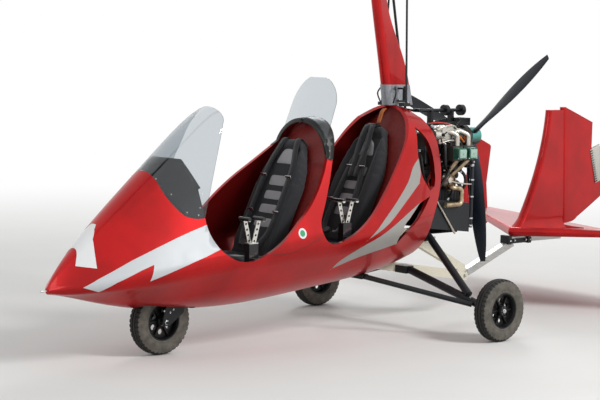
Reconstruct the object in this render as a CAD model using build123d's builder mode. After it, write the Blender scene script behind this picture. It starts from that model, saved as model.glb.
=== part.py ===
from build123d import *
import os
from math import acos, atan2, cos, hypot, radians, sin

os.makedirs("parts", exist_ok=True)

# A two-seat tandem gyrocopter with a pusher engine. Millimetres. +X is the port side, +Y
# runs aft and +Z is up. The origin is on the ground, straight below the rotor's teeter bolt.

# Fits and gaps
seat_gap = 0.3        # between pieces that rest on each other with curved faces
running_gap = 0.05    # radial gap of a pin in its bore
moving_gap = 6.0      # between pieces that move past each other

# Wheels and where their axles stand
tyre_od = 405
tyre_width = 100
rim_od = 230
rim_width = 84
axle_r = 10
wheelbase = 2062
track = 1752
nose_axle_y = -1680
main_axle_y = nose_axle_y + wheelbase
axle_z = tyre_od / 2
fork_rake = 15        # degrees, top of the steering axis leaned aft

# Hull
wall = 24             # composite side wall with its rolled lip
glass = 3
well_half_width = 112
well_length = 420

# Keel, mast and rotor
keel_width = 50
keel_height = 62
tube_wall = 4
knuckle = (968, 279)  # Y, Z of the bolt where keel, brace and tail boom meet
mast_seat_z = 1484
mast_top_z = 2500
teeter_z = 2735
rotor_radius = 4200
blade_chord = 200
blade_thickness = 25

# Engine and propeller
prop_y = 1010
prop_z = 1261
prop_radius = 883
crank_drop = 98       # crankshaft below the propeller shaft
cover_reach = 283     # centreline to the rocker covers' outer faces
bore_pitch = 108      # between the two cylinders of a bank

# Tail
tail_z = 560          # nose of the stabiliser on the centre plane
tail_half_span = 1150
tail_tilt = 2.4       # degrees, nose up
hinge_foot = (2039.2, 592)   # Y, Z of the rudder's hinge line
hinge_head = (2000, 1452)
rudder_nose_r = 24


def tangent_points(centre_a, r_a, centre_b, r_b):
    """Ends of the outer tangent of two circles, on the left of the way from a to b."""
    run, rise = centre_b[0] - centre_a[0], centre_b[1] - centre_a[1]
    angle = atan2(rise, run) + acos((r_a - r_b) / hypot(run, rise))
    return tuple((c[0] + r * cos(angle), c[1] + r * sin(angle))
                 for c, r in ((centre_a, r_a), (centre_b, r_b)))


def hull_section(row, inset=0):
    """One closed section of the hull: five arcs joined by tangent lines."""
    y, half, z_top, z_side, z_bottom, r_top, r_side, r_bottom = row
    top, side, bottom = (0, z_top - r_top), (half - r_side, z_side), (0, z_bottom + r_bottom)
    a, b = tangent_points(top, r_top - inset, side, r_side - inset)
    c, d = tangent_points(side, r_side - inset, bottom, r_bottom - inset)
    with BuildSketch(Plane.XZ.offset(-y)) as section:
        with BuildLine():
            ThreePointArc((-a[0], a[1]), (0, z_top - inset), a)
            ThreePointArc(d, (0, z_bottom + inset), (-d[0], d[1]))
            for s in (1, -1):
                Line((s * a[0], a[1]), (s * b[0], b[1]))
                ThreePointArc((s * b[0], b[1]), (s * (half - inset), z_side), (s * c[0], c[1]))
                Line((s * c[0], c[1]), (s * d[0], d[1]))
        make_face()
    return section.sketch


def side_outline(start, *steps, plane=Plane.YZ):
    """Closed outline seen from port. A step is an end point, or an arc's (via, end)."""
    with BuildSketch(plane) as outline:
        with BuildLine():
            here = start
            for step in steps:
                if isinstance(step[0], tuple):
                    ThreePointArc(here, *step)
                    here = step[1]
                else:
                    Line(here, step)
                    here = step
            Line(here, start)
        make_face()
    return outline.sketch


def drop_section(plane, nose, r_nose, tail, r_tail):
    """Rounded nose and rounded tail edge joined by two tangent lines, nose to tail on local X."""
    front, back = (nose + r_nose, 0), (tail - r_tail, 0)
    a, b = tangent_points(front, r_nose, back, r_tail)
    with BuildSketch(plane) as section:
        with BuildLine():
            ThreePointArc((a[0], -a[1]), (nose, 0), a)
            Line(a, b)
            ThreePointArc(b, (tail, 0), (b[0], -b[1]))
            Line((b[0], -b[1]), (a[0], -a[1]))
        make_face()
    return section.sketch


def rod(start, end, radius):
    """A round bar between two points, joined to the part being built."""
    way = Vector(*end) - Vector(*start)
    with BuildSketch(Plane(origin=start, z_dir=way)) as circle:
        Circle(radius)
    extrude(circle.sketch, amount=way.length)


def bar(start, end, width, height, mode=Mode.ADD):
    """A rectangular bar between two (Y, Z) points on the centre plane."""
    way = Vector(0, end[0] - start[0], end[1] - start[1])
    with BuildSketch(Plane(origin=(0, *start), x_dir=(1, 0, 0), z_dir=way)) as section:
        Rectangle(width, height)
    extrude(section.sketch, amount=way.length, mode=mode)


def save(builder, name):
    builder.part.label = name
    export_step(builder.part, f"parts/{name}.step")


# Hull: Y, half width, top, widest height, bottom, radii at the top, side and bottom
hull_rows = (
    (-2480, 22, 470, 450, 430, 16, 14, 16),
    (-2390, 122, 592, 468, 414, 52, 38, 62),
    (-2230, 208, 758, 492, 374, 98, 58, 122),
    (-1980, 284, 982, 528, 316, 138, 92, 182),
    (-1680, 332, 1240, 568, 277, 166, 120, 250),
    (-1300, 360, 1505, 610, 262, 180, 150, 300),
    (-900, 370, 1440, 645, 280, 210, 180, 300),
    (-560, 370, 1407, 675, 312, 230, 200, 300),
    (-200, 365, 1460, 700, 350, 265, 180, 300),
    (170, 322, 1490, 740, 415, 285, 150, 290),
    (520, 238, 1450, 800, 530, 222, 130, 212),
)
hull_reach = 600      # past the widest section, for cuts
hull_end_y = hull_rows[-1][0]

with BuildPart() as hull_form:
    loft([hull_section(row) for row in hull_rows])

with BuildPart() as hull_inside:
    loft([hull_section(row, wall) for row in hull_rows[1:]])

with BuildPart() as glass_inside:
    loft([hull_section(row, glass) for row in hull_rows])

# Rims as (Y, Z), from the windscreen's foot round each cockpit to its roof
sky_z = 1700
screen_head = (-1826, 1130)
screen_low = (-1690, 862)
screen_corner = (-1559, 845)
screen_foot = (((-1772, 960), screen_low), ((-1611, 841), screen_corner))
front_roof = ((-575, 1440), (-575, sky_z), (screen_head[0], sky_z))
front_rim_port = side_outline(
    screen_head, *screen_foot, ((-1528, 715), (-1416, 606)), ((-1310, 573), (-1189, 591)),
    ((-1008, 683), (-869, 789)), ((-700, 945), (-556, 1186)), *front_roof)
front_rim_stbd = side_outline(
    screen_head, *screen_foot, ((-1360, 768), (-1115, 848)), ((-975, 985), (-824, 1097)),
    (-600, 1255), *front_roof)
rear_rim_port = side_outline(
    (-460, sky_z), (-460, 1390), ((-570, 1040), (-682, 815)), ((-700, 735), (-664, 662)),
    ((-610, 638), (-530, 649)), ((-340, 735), (-147, 904)), ((12, 1110), (140, 1340)),
    ((182, 1420), (210, 1500)), (210, sky_z))
rear_rim_stbd = side_outline(
    (-460, sky_z), (-460, 1390), ((-545, 1060), (-480, 905)), ((-280, 970), (-77, 1166)),
    ((16, 1263), (116, 1400)), ((175, 1450), (210, 1500)), (210, sky_z))
tail_edge = side_outline(
    (290, sky_z), (292, 1440), ((430, 1215), (472, 1050)), ((450, 900), (388, 770)),
    ((356, 650), (330, 545)), (270, 380), (hull_end_y + 50, 380), (hull_end_y + 50, sky_z))
upper_window = side_outline(
    (205, 1350), ((322, 1235), (390, 1050)), ((397, 1000), (385, 950)), (333, 926),
    (253, 1011), ((205, 1140), (196, 1244)))
lower_window = side_outline(
    (333, 890), ((230, 780), (73, 671)), (12, 594), ((20, 690), (90, 755)), (208, 850))
hump_seam = side_outline(
    (-1225, sky_z), (-1225, 575), ((-1000, 590), (-705, 688)), (-400, 860), (-400, sky_z))

# The hull is one composite moulding from the nose to the hoop round the engine. The hump
# between the cockpits is bolted on along a seam.
with BuildPart() as hull:
    add(hull_form.part)
    add(hull_inside.part, mode=Mode.SUBTRACT)
    for outline, side in ((front_rim_port, 1), (front_rim_stbd, -1),
                          (rear_rim_port, 1), (rear_rim_stbd, -1)):
        extrude(outline, amount=side * hull_reach, mode=Mode.SUBTRACT)
    for outline in (upper_window, lower_window, tail_edge):
        extrude(outline, amount=hull_reach, both=True, mode=Mode.SUBTRACT)
    # Flat seat for the mast, slot for the keel and the nose wheel's well
    with Locations((0, hull_end_y / 2, mast_seat_z)):
        Box(240, hull_end_y, 200, align=(Align.CENTER, Align.CENTER, Align.MIN),
            mode=Mode.SUBTRACT)
    with Locations((0, -200, 0)):
        Box(keel_width + 2 * seat_gap, 800, 560,
            align=(Align.CENTER, Align.MIN, Align.MIN), mode=Mode.SUBTRACT)
    with BuildSketch(Plane.XY):
        with Locations((0, nose_axle_y)):
            RectangleRounded(2 * well_half_width, well_length, 50)
    extrude(amount=axle_z + 160, mode=Mode.SUBTRACT)

with BuildPart() as hump_fairing:
    add(hull.part)
    extrude(hump_seam, amount=hull_reach, both=True, mode=Mode.INTERSECT)

with BuildPart() as body_shell:
    add(hull.part)
    extrude(hump_seam, amount=hull_reach, both=True, mode=Mode.SUBTRACT)

save(body_shell, "body_shell")
save(hump_fairing, "hump_fairing")

# Front windscreen: blown acrylic that carries on the hull's own curve
windscreen_edge = side_outline(
    screen_head, *screen_foot, ((-1456, 1110), (-1348, 1390)), ((-1330, 1455), (-1372, 1515)),
    (-1600, sky_z), (-1900, 1300))

with BuildPart() as windscreen_front:
    add(hull_form.part)
    add(glass_inside.part, mode=Mode.SUBTRACT)
    extrude(windscreen_edge, amount=hull_reach, both=True, mode=Mode.INTERSECT)
save(windscreen_front, "windscreen_front")

# Instrument cowl: the black hood under the windscreen
with BuildPart() as instrument_cowl:
    loft([hull_section(row, glass + seat_gap) for row in hull_rows])
    extrude(side_outline(
        screen_head, *screen_foot, (-1575, 1010), (-1490, 1050), ((-1600, 1175), (-1700, 1185))),
        amount=hull_reach, both=True, mode=Mode.INTERSECT)
save(instrument_cowl, "instrument_cowl")

# Rear windscreen: a bowed sheet that stands on the hump and leans aft
rear_screen_y = -548
rear_screen_lean = 22
with BuildPart() as windscreen_rear:
    with BuildSketch(Plane.XY.offset(1000)):
        with BuildLine():
            ThreePointArc((-225, rear_screen_y - 120), (0, rear_screen_y - 164),
                          (225, rear_screen_y - 120))
            Line((225, rear_screen_y - 120), (225, rear_screen_y - 120 + glass))
            ThreePointArc((225, rear_screen_y - 120 + glass), (0, rear_screen_y - 164 + glass),
                          (-225, rear_screen_y - 120 + glass))
            Line((-225, rear_screen_y - 120 + glass), (-225, rear_screen_y - 120))
        make_face()
    extrude(amount=720, dir=(0, sin(radians(rear_screen_lean)), cos(radians(rear_screen_lean))))
    with BuildSketch(Plane.XZ):
        with BuildLine():
            ThreePointArc((-208, 1500), (0, 1682), (208, 1500))
            Line((208, 1500), (222, 1180))
            Line((222, 1180), (-222, 1180))
            Line((-222, 1180), (-208, 1500))
        make_face()
    extrude(amount=1000, both=True, mode=Mode.INTERSECT)
    add(hull_form.part, mode=Mode.SUBTRACT)
save(windscreen_rear, "windscreen_rear")

# Seats: padded back and pan as one bent cushion each, on a closed base
# foot of the backrest (Y, Z), head of the backrest (Y, Z)
seat_rows = {"front_seat": ((-985, 545), (-635, 1280)), "rear_seat": ((-300, 585), (80, 1350))}
cushion = 60
pan_length = 380
seats = {}
for name, (foot, head) in seat_rows.items():
    lean = atan2(head[0] - foot[0], head[1] - foot[1])
    back_y, back_z = cushion * cos(lean), -cushion * sin(lean)
    with BuildPart() as seat:
        extrude(side_outline(
            foot, head, (head[0] + back_y, head[1] + back_z),
            (foot[0] + back_y, foot[1] + back_z - cushion / 2),
            (foot[0] - pan_length, foot[1] - cushion / 2), (foot[0] - pan_length, foot[1] + 25)),
            amount=210, both=True)
        with BuildSketch(Plane.XZ):
            with BuildLine():
                Polyline((-205, foot[1] - 300), (-205, foot[1] + 420), (-130, head[1] + 60),
                         (130, head[1] + 60), (205, foot[1] + 420), (205, foot[1] - 300),
                         close=True)
            make_face()
        extrude(amount=3000, both=True, mode=Mode.INTERSECT)
    save(seat, name)
    seats[name] = seat.part

# Keel: sloping tube inside the hull, aft keel with its brace, joined at the knuckle
keel_front = (-1480, 352)
knuckle_r = 34
keel_rear = (170, 452)
keel_slope = 0.163
aft_keel_front = (60, knuckle[1] + keel_slope * (knuckle[0] - 60))
brace_slope = 0.482
brace_foot = (knuckle[0] - 20, knuckle[1] + 45 + brace_slope * 20)
brace_head = (265, brace_foot[1] + brace_slope * (brace_foot[0] - 265))
with BuildPart() as keel_frame:
    tubes = ((keel_front, keel_rear, keel_height - 12), (aft_keel_front, knuckle, keel_height),
             (brace_head, brace_foot, keel_height - 2))
    for start, end, height in tubes:
        bar(start, end, keel_width, height)
    for start, end, height in tubes:
        bar(start, end, keel_width - 2 * tube_wall, height - 2 * tube_wall, Mode.SUBTRACT)
    with BuildSketch(Plane.YZ.offset(-keel_width / 2)):
        with Locations(knuckle):
            Circle(knuckle_r)
    extrude(amount=keel_width)
    extrude(side_outline(
        (knuckle[0] - 70, knuckle[1] + 12), (knuckle[0] + knuckle_r * 0.8, knuckle[1] + 20),
        (brace_foot[0] + 16, brace_foot[1] + 26), (brace_foot[0] - 14, brace_foot[1] + 33)),
        amount=keel_width / 2, both=True)
    with Locations(Plane.YZ):
        with Locations((knuckle[0], knuckle[1])):
            Hole(8)
save(keel_frame, "keel_frame")

with BuildPart() as seat_bases:
    for foot, head in seat_rows.values():
        keel_top = keel_front[1] + (foot[0] - keel_front[0]) * (
            (keel_rear[1] - keel_front[1]) / (keel_rear[0] - keel_front[0])) + keel_height / 2
        extrude(side_outline(
            (foot[0] - pan_length + 30, foot[1]), (foot[0] + 30, foot[1]),
            (foot[0] - 10, keel_top), (foot[0] - pan_length + 60, keel_top)),
            amount=150, both=True)
    for seat_part in seats.values():
        add(seat_part, mode=Mode.SUBTRACT)
save(seat_bases, "seat_bases")

# Stabiliser: swept and hollow, with its tips closed by the end plates
# X, nose Y, nose Z, nose radius, chord
stabiliser_rows = ((0, 1440, tail_z, 32, 1081), (tail_half_span, 2245, tail_z + 29, 18, 276))
skin = 9
tail_way = (0, cos(radians(tail_tilt)), -sin(radians(tail_tilt)))


def stabiliser_section(side, row, inset=0, spar=1.0):
    x, nose_y, nose_z, r, chord = row
    plane = Plane(origin=(side * x, nose_y, nose_z), x_dir=tail_way, z_dir=(1, 0, 0))
    return drop_section(plane, inset, r - inset, chord * spar, 5)


with BuildPart() as stabiliser_form:
    for side in (1, -1):
        loft([stabiliser_section(side, row) for row in stabiliser_rows])

with BuildPart() as stabiliser:
    add(stabiliser_form.part)
    for side in (1, -1):
        loft([stabiliser_section(side, row, skin, 0.62) for row in stabiliser_rows],
             mode=Mode.SUBTRACT)
save(stabiliser, "stabiliser")

# Tail boom: polished tube from the knuckle up to a short rail under the stabiliser
boom_top = (1470, 479)
rail_front, rail_end = (1425, 502), (2000, 499)
rail_height = 40
boom_gap = knuckle_r + seat_gap
boom_base = (knuckle[0], knuckle[1] + 8)
boom_way = Vector(boom_top[0] - boom_base[0], boom_top[1] - boom_base[1]).normalized()
boom_foot = (boom_base[0] + boom_gap * boom_way.X, boom_base[1] + boom_gap * boom_way.Y)
with BuildPart() as tail_boom:
    bar(boom_foot, boom_top, keel_width, keel_height - 12)
    bar(boom_foot, boom_top, keel_width - 2 * tube_wall, keel_height - 12 - 2 * tube_wall,
        Mode.SUBTRACT)
    bar(rail_front, rail_end, keel_width, rail_height)
    bar((rail_front[0] + 60, rail_front[1]), (rail_end[0] + 1, rail_end[1]),
        keel_width - 2 * tube_wall, rail_height - 2 * tube_wall, Mode.SUBTRACT)
    add(stabiliser_form.part, mode=Mode.SUBTRACT)
    add(keel_frame.part, mode=Mode.SUBTRACT)
save(tail_boom, "tail_boom")

clamp_front, clamp_back = 1400, 1660
with BuildPart() as boom_clamp:
    with Locations((0, (clamp_front + clamp_back) / 2, rail_front[1] - rail_height / 2 - 6)):
        Box(keel_width + 16, clamp_back - clamp_front, rail_height - 6,
            align=(Align.CENTER, Align.CENTER, Align.MIN))
    for y in (clamp_front + 20, clamp_back - 30):
        with Locations((0, y, rail_front[1])):
            Box(keel_width + 30, 34, rail_height + 22)
    add(tail_boom.part, mode=Mode.SUBTRACT)
    add(stabiliser_form.part, mode=Mode.SUBTRACT)
save(boom_clamp, "boom_clamp")

# Mast frame: the hidden post from the keel to the hoop, with the engine's two bearers
post_front_y = 235
post_depth = 60
bearer_x = 70
engine_half_height = 120
bearer_z = prop_z - crank_drop - engine_half_height
bearer_depth = 25
engine_front_y = 560
with BuildPart() as mast_frame:
    with Locations((0, post_front_y + post_depth / 2, 480)):
        Box(keel_width, post_depth, 981, align=(Align.CENTER, Align.CENTER, Align.MIN))
    for side in (1, -1):
        with Locations((side * (bearer_x - 20), post_front_y, bearer_z)):
            Box(40, 560, bearer_depth, align=(Align.CENTER, Align.MIN, Align.MAX))
    add(keel_frame.part, mode=Mode.SUBTRACT)
save(mast_frame, "mast_frame")

# Mast: Z, front edge Y, chord, width
mast_rows = (
    (mast_seat_z, 158, 256, 84),
    (1620, 133, 248, 80),
    (1850, 88, 206, 74),
    (2035, 50, 150, 70),
    (2180, 22, 128, 70),
    (mast_top_z, -48, 118, 66),
)


def mast_section(row, grow=0):
    z, front, chord, width = row
    plane = Plane(origin=(0, front, z), x_dir=(0, 1, 0), z_dir=(0, 0, 1))
    return drop_section(plane, -grow, width / 2 + grow, chord + grow, 10 + grow)


with BuildPart() as mast:
    loft([mast_section(row) for row in mast_rows])
save(mast, "mast")

with BuildPart() as mast_sleeve:
    loft([mast_section(row, 4) for row in mast_rows[:2]], ruled=True)
    loft([mast_section(row, seat_gap) for row in mast_rows[:2]], ruled=True,
         mode=Mode.SUBTRACT)
    add(mast.part, mode=Mode.SUBTRACT)
save(mast_sleeve, "mast_sleeve")

# Rotor head: cheek plates on the mast carry the pitch bolt, the gimbal block carries the
# roll bolt, and the torque bar above it carries the bearing and the push rods' arms.
pitch_y, pitch_z = -20, 2556
roll_z = pitch_z + 34
cheek_inner_x = 34
cheek_plate = 8
block_half = cheek_inner_x - moving_gap
head_bolt_r = 8
bar_under_z = roll_z + 28
bar_plate = 22
bearing_z = bar_under_z + bar_plate
spindle_r = 14
cup_r = 42
cup_height = 24
tower_z = bearing_z + cup_height + 4
arm_y = 262
arm_half = 97
arm_rod_x = 67
slot_half = 18

with BuildPart() as mast_head:
    for side in (1, -1):
        with BuildSketch(Plane.YZ.offset(side * (cheek_inner_x + cheek_plate / 2))):
            with BuildLine():
                Polyline((-72, mast_top_z - 60), (72, mast_top_z - 60), (40, pitch_z),
                         (pitch_y + 22, pitch_z + 24), (pitch_y - 22, pitch_z + 24),
                         (pitch_y - 34, pitch_z), close=True)
            make_face()
        extrude(amount=cheek_plate / 2, both=True)
    with Locations(Location((0, pitch_y, pitch_z), (0, 90, 0))):
        Cylinder(head_bolt_r, 2 * (cheek_inner_x + cheek_plate) + 20)
    add(mast.part, mode=Mode.SUBTRACT)
save(mast_head, "mast_head")

with BuildPart() as gimbal_block:
    with Locations((0, pitch_y, (pitch_z + roll_z) / 2)):
        Box(2 * block_half, 44, roll_z - pitch_z + 36)
    fillet(gimbal_block.edges().filter_by(Axis.Z), 5)
    with Locations(Location((0, pitch_y, pitch_z), (0, 90, 0))):
        Cylinder(head_bolt_r + running_gap, 200, mode=Mode.SUBTRACT)
    with Locations(Location((0, pitch_y, roll_z), (90, 0, 0))):
        Cylinder(head_bolt_r, 44 + 2 * 26)
save(gimbal_block, "gimbal_block")

with BuildPart() as torque_bar:
    with Locations((0, -66, bar_under_z)):
        Box(50, 66 + arm_y + 18, bar_plate, align=(Align.CENTER, Align.MIN, Align.MIN))
    for side in (1, -1):
        with Locations((0, pitch_y + side * (22 + moving_gap + 6), roll_z - 18)):
            Box(44, 12, bar_under_z - roll_z + 18, align=(Align.CENTER, Align.CENTER, Align.MIN))
    with Locations((0, arm_y - 38, bar_under_z)):
        Box(2 * arm_half, 56, bar_plate, align=(Align.CENTER, Align.MIN, Align.MIN))
    with Locations((0, 0, bearing_z)):
        Cylinder(cup_r, cup_height, align=(Align.CENTER, Align.CENTER, Align.MIN))
    with Locations(Location((0, pitch_y, roll_z), (90, 0, 0))):
        Cylinder(head_bolt_r + running_gap, 200, mode=Mode.SUBTRACT)
    with Locations((0, 0, bearing_z - 4)):
        Cylinder(spindle_r + running_gap, 200, align=(Align.CENTER, Align.CENTER, Align.MIN),
                 mode=Mode.SUBTRACT)
    for side in (1, -1):
        with Locations((side * arm_rod_x, arm_y - 24, bearing_z)):
            Box(2 * slot_half, 100, 200, align=(Align.CENTER, Align.MIN, Align.CENTER),
                mode=Mode.SUBTRACT)
save(torque_bar, "torque_bar")

# Spinning part of the head: spindle, ring gear and the two teeter cheeks
ring_gear_r = 120
hub_z = teeter_z - 24
hub_width = 56
hub_plate = 24
teeter_bolt_r = 9
with BuildPart() as rotor_tower:
    with Locations((0, 0, tower_z)):
        Cylinder(ring_gear_r, 6, align=(Align.CENTER, Align.CENTER, Align.MIN))
        Cylinder(46, 10, align=(Align.CENTER, Align.CENTER, Align.MIN))
        Cylinder(spindle_r, tower_z - bearing_z, align=(Align.CENTER, Align.CENTER, Align.MAX))
        with PolarLocations(80, 8):
            Cylinder(20, 60, mode=Mode.SUBTRACT)
    for side in (1, -1):
        with Locations((side * (hub_width / 2 + moving_gap + 4), 0, tower_z)):
            Box(8, 52, teeter_z + 16 - tower_z, align=(Align.CENTER, Align.CENTER, Align.MIN))
    with Locations(Location((0, 0, teeter_z), (0, 90, 0))):
        Cylinder(teeter_bolt_r, hub_width + 2 * moving_gap + 36)
save(rotor_tower, "rotor_tower")

# Hub bar below the teeter bolt, with the bearing block round the bolt
hub_half = 620
with BuildPart() as hub_bar:
    with Locations((0, 0, hub_z)):
        Box(hub_width, 2 * hub_half, hub_plate)
        Box(hub_width, 60, teeter_z + 14 - hub_z, align=(Align.CENTER, Align.CENTER, Align.MIN))
    with Locations(Location((0, 0, teeter_z), (0, 90, 0))):
        Cylinder(teeter_bolt_r + running_gap, 200, mode=Mode.SUBTRACT)
save(hub_bar, "hub_bar")

with BuildPart() as rotor_blades:
    for aft in (1, -1):
        # the aft blade leads to starboard and the fore blade to port
        plane = Plane(origin=(0, aft * hub_half, hub_z), x_dir=(aft, 0, 0), z_dir=(0, aft, 0))
        blade = drop_section(plane, -blade_chord / 4, blade_thickness / 2,
                             blade_chord * 3 / 4, 1.5)
        extrude(blade, amount=rotor_radius - hub_half)
save(rotor_blades, "rotor_blades")

# Push rods from the bell cranks beside the mast's foot up to the torque bar's arms
rod_x_low = 116
rod_foot = (247, 1496)
with BuildPart() as control_rods:
    for side in (1, -1):
        foot_point = (side * rod_x_low, *rod_foot)
        rod(foot_point, (side * arm_rod_x, arm_y, bar_under_z + 6), 7)
        with Locations((side * (rod_x_low - 16), rod_foot[0], rod_foot[1] - 6)):
            Box(48, 60, 22)
    add(mast_sleeve.part, mode=Mode.SUBTRACT)
    add(hull_form.part, mode=Mode.SUBTRACT)
save(control_rods, "control_rods")

# Engine: flat four with its reduction gearbox aft
crank_z = prop_z - crank_drop
case_half = 95
gearbox_y = 815
cylinder_r = 50
# side, Y of its forward cylinder
banks = ((1, prop_y - 272 - bore_pitch), (-1, prop_y - 272 - bore_pitch - 30))
with BuildPart() as engine_block:
    with Locations((0, engine_front_y, crank_z)):
        Box(2 * case_half, gearbox_y - engine_front_y, 2 * engine_half_height,
            align=(Align.CENTER, Align.MIN, Align.CENTER))
    fillet(engine_block.edges().filter_by(Axis.Y), 30)
save(engine_block, "engine_block")

with BuildPart() as gearbox:
    with BuildSketch(Plane.XZ.offset(-gearbox_y)):
        with Locations((0, prop_z)):
            Circle(78)
        with Locations((0, crank_z)):
            Circle(95)
        with Locations((0, (prop_z + crank_z) / 2)):
            Rectangle(150, crank_drop)
    extrude(amount=-(965 - gearbox_y - 22))
    with Locations(Location((0, 965 - 22, prop_z), (-90, 0, 0))):
        Cylinder(40, 22 - moving_gap, align=(Align.CENTER, Align.CENTER, Align.MIN))
save(gearbox, "gearbox")

with BuildPart() as cylinder_banks:
    for side, y_front in banks:
        for y in (y_front, y_front + bore_pitch):
            with Locations(Location((side * case_half, y, crank_z), (0, side * 90, 0))):
                Cylinder(cylinder_r - 8, 100, align=(Align.CENTER, Align.CENTER, Align.MIN))
            for fin_number in range(4):
                with Locations(Location((side * (case_half + 14 + 22 * fin_number), y, crank_z),
                                        (0, side * 90, 0))):
                    Cylinder(cylinder_r, 8, align=(Align.CENTER, Align.CENTER, Align.MIN))
            with Locations((side * (case_half + 120), y, crank_z)):
                Box(50, 96, 100)
save(cylinder_banks, "cylinder_banks")

with BuildPart() as rocker_covers:
    for side, y_front in banks:
        for y in (y_front, y_front + bore_pitch):
            depth = cover_reach - case_half - 145
            with BuildSketch(Plane.YZ.offset(side * (case_half + 145))):
                with Locations((y, crank_z)):
                    RectangleRounded(90, 86, 16)
            extrude(amount=side * depth, taper=8)
save(rocker_covers, "rocker_covers")

# Induction: a carburettor each side with two arched pipes to the cylinder heads
head_top_z = crank_z + 50
head_x = case_half + 120
carburettor_x = 150
carburettor_z = head_top_z + 72
with BuildPart() as intake_system:
    for side, y_front in banks:
        for y, start_y in ((y_front + 15, y_front - 40), (y_front + bore_pitch + 15, y_front - 10)):
            with BuildLine() as runner:
                FilletPolyline(
                    (side * carburettor_x, start_y, carburettor_z),
                    (side * (carburettor_x + 30), y - 50, carburettor_z + 26),
                    (side * head_x, y, carburettor_z), (side * head_x, y, head_top_z), radius=26)
            with BuildSketch(Plane(origin=runner.line @ 0, z_dir=runner.line % 0)) as bore:
                Circle(17)
            sweep(bore.sketch, path=runner.line)
        with Locations((side * carburettor_x, y_front - 55, carburettor_z)):
            Box(70, 90, 92)
        with Locations(Location((side * carburettor_x, y_front - 100, carburettor_z), (90, 0, 0))):
            Cylinder(34, 55, align=(Align.CENTER, Align.CENTER, Align.MIN))
save(intake_system, "intake_system")

muffler_y, muffler_z = 640, 960
with BuildPart() as exhaust_system:
    with Locations(Location((0, muffler_y, muffler_z), (0, 90, 0))):
        Cylinder(55, 340)
        Cylinder(51, 400, align=(Align.CENTER, Align.CENTER, Align.CENTER), mode=Mode.SUBTRACT)
        with Locations((0, 0, -160), (0, 0, 160)):
            Cylinder(52, 6)
    for side, y_front in banks:
        for y in (y_front, y_front + bore_pitch):
            pipe_y = muffler_y + (y - y_front - bore_pitch / 2) * 0.6
            rod((side * head_x, y + 20, crank_z - 46), (side * 140, pipe_y, muffler_z + 44), 17)
    # Outlet pipe that loops down outboard of the radiator
    with BuildLine() as outlet:
        FilletPolyline((158, muffler_y - 20, muffler_z - 32), (205, muffler_y - 20, muffler_z - 32),
                       (205, muffler_y + 74, muffler_z - 44), (205, muffler_y + 74, muffler_z - 148),
                       (205, muffler_y - 80, muffler_z - 148), radius=28)
    with BuildSketch(Plane(origin=outlet.line @ 0, z_dir=outlet.line % 0)) as bore:
        Circle(17)
    sweep(bore.sketch, path=outlet.line)
    add(cylinder_banks.part, mode=Mode.SUBTRACT)
save(exhaust_system, "exhaust_system")

# Radiator in its shroud under the engine, hung nose up
radiator_front, radiator_back = (448, 655), (838, 612)   # Y, Z of its lower edge
radiator_half = 170
hose_x, hose_y = 165, 857
radiator_tall = 200
with BuildPart() as radiator_box:
    extrude(side_outline(
        radiator_front, radiator_back, (radiator_back[0], radiator_back[1] + radiator_tall),
        (radiator_front[0], radiator_front[1] + radiator_tall)), amount=radiator_half, both=True)
    extrude(side_outline(
        (radiator_front[0] - 1, radiator_front[1] + 6), (radiator_back[0] + 1, radiator_back[1] + 6),
        (radiator_back[0] + 1, radiator_back[1] + radiator_tall - 6),
        (radiator_front[0] - 1, radiator_front[1] + radiator_tall - 6)),
        amount=radiator_half - 5, both=True, mode=Mode.SUBTRACT)
    with Locations((0, 700, 632)):
        Box(2 * radiator_half - 2, 45, radiator_tall - 12, align=(Align.CENTER, Align.CENTER, Align.MIN))
    for side in (1, -1):
        rod((side * (radiator_half + 5), 505, 838), (side * (radiator_half + 5), 690, 610), 6)
        for y in (545, 740):
            rod((side * 60, y, 820), (side * 60, y, bearer_z - bearer_depth), 10)
    # Coolant hose up the port rear corner, held off the shroud by a block
    with Locations((hose_x, (radiator_back[0] + hose_y) / 2, 680)):
        Box(12, hose_y - radiator_back[0] + 6, 30)
    rod((hose_x, hose_y, 640), (hose_x, hose_y, 1095), 13)
save(radiator_box, "radiator_box")

# Pre-rotator: lay shaft over the engine, two pulleys and a flexible shaft up the mast's back
lay_z = 1443
flex_x = -44
with BuildPart() as prerotator_drive:
    with Locations(Location((0, 480, lay_z), (-90, 0, 0))):
        Cylinder(12, 440, align=(Align.CENTER, Align.CENTER, Align.MIN))
    for y in (728, 885):
        with Locations(Location((0, y, lay_z), (-90, 0, 0))):
            Cylinder(38, 30, align=(Align.CENTER, Align.CENTER, Align.MIN))
    for y in (600, 800):
        with Locations((0, y, crank_z + engine_half_height)):
            Box(40, 24, lay_z - crank_z - engine_half_height,
                align=(Align.CENTER, Align.CENTER, Align.MIN))
    # Ignition box over the gearbox
    with Locations((30, 860, prop_z + 79)):
        Box(100, 110, 52, align=(Align.CENTER, Align.CENTER, Align.MIN))
    rod((flex_x, 500, lay_z - 3), (flex_x, 400, 1450), 9)
    rod((flex_x, 400, 1450), (flex_x, 175, tower_z - 50), 9)
    with Locations((flex_x / 2, 500, lay_z)):
        Box(-flex_x + 20, 30, 24)
    add(mast.part, mode=Mode.SUBTRACT)
    add(mast_sleeve.part, mode=Mode.SUBTRACT)
save(prerotator_drive, "prerotator_drive")

# Propeller: three scimitar blades in a clamped hub
prop_angles = (50, 170, 290)
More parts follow.
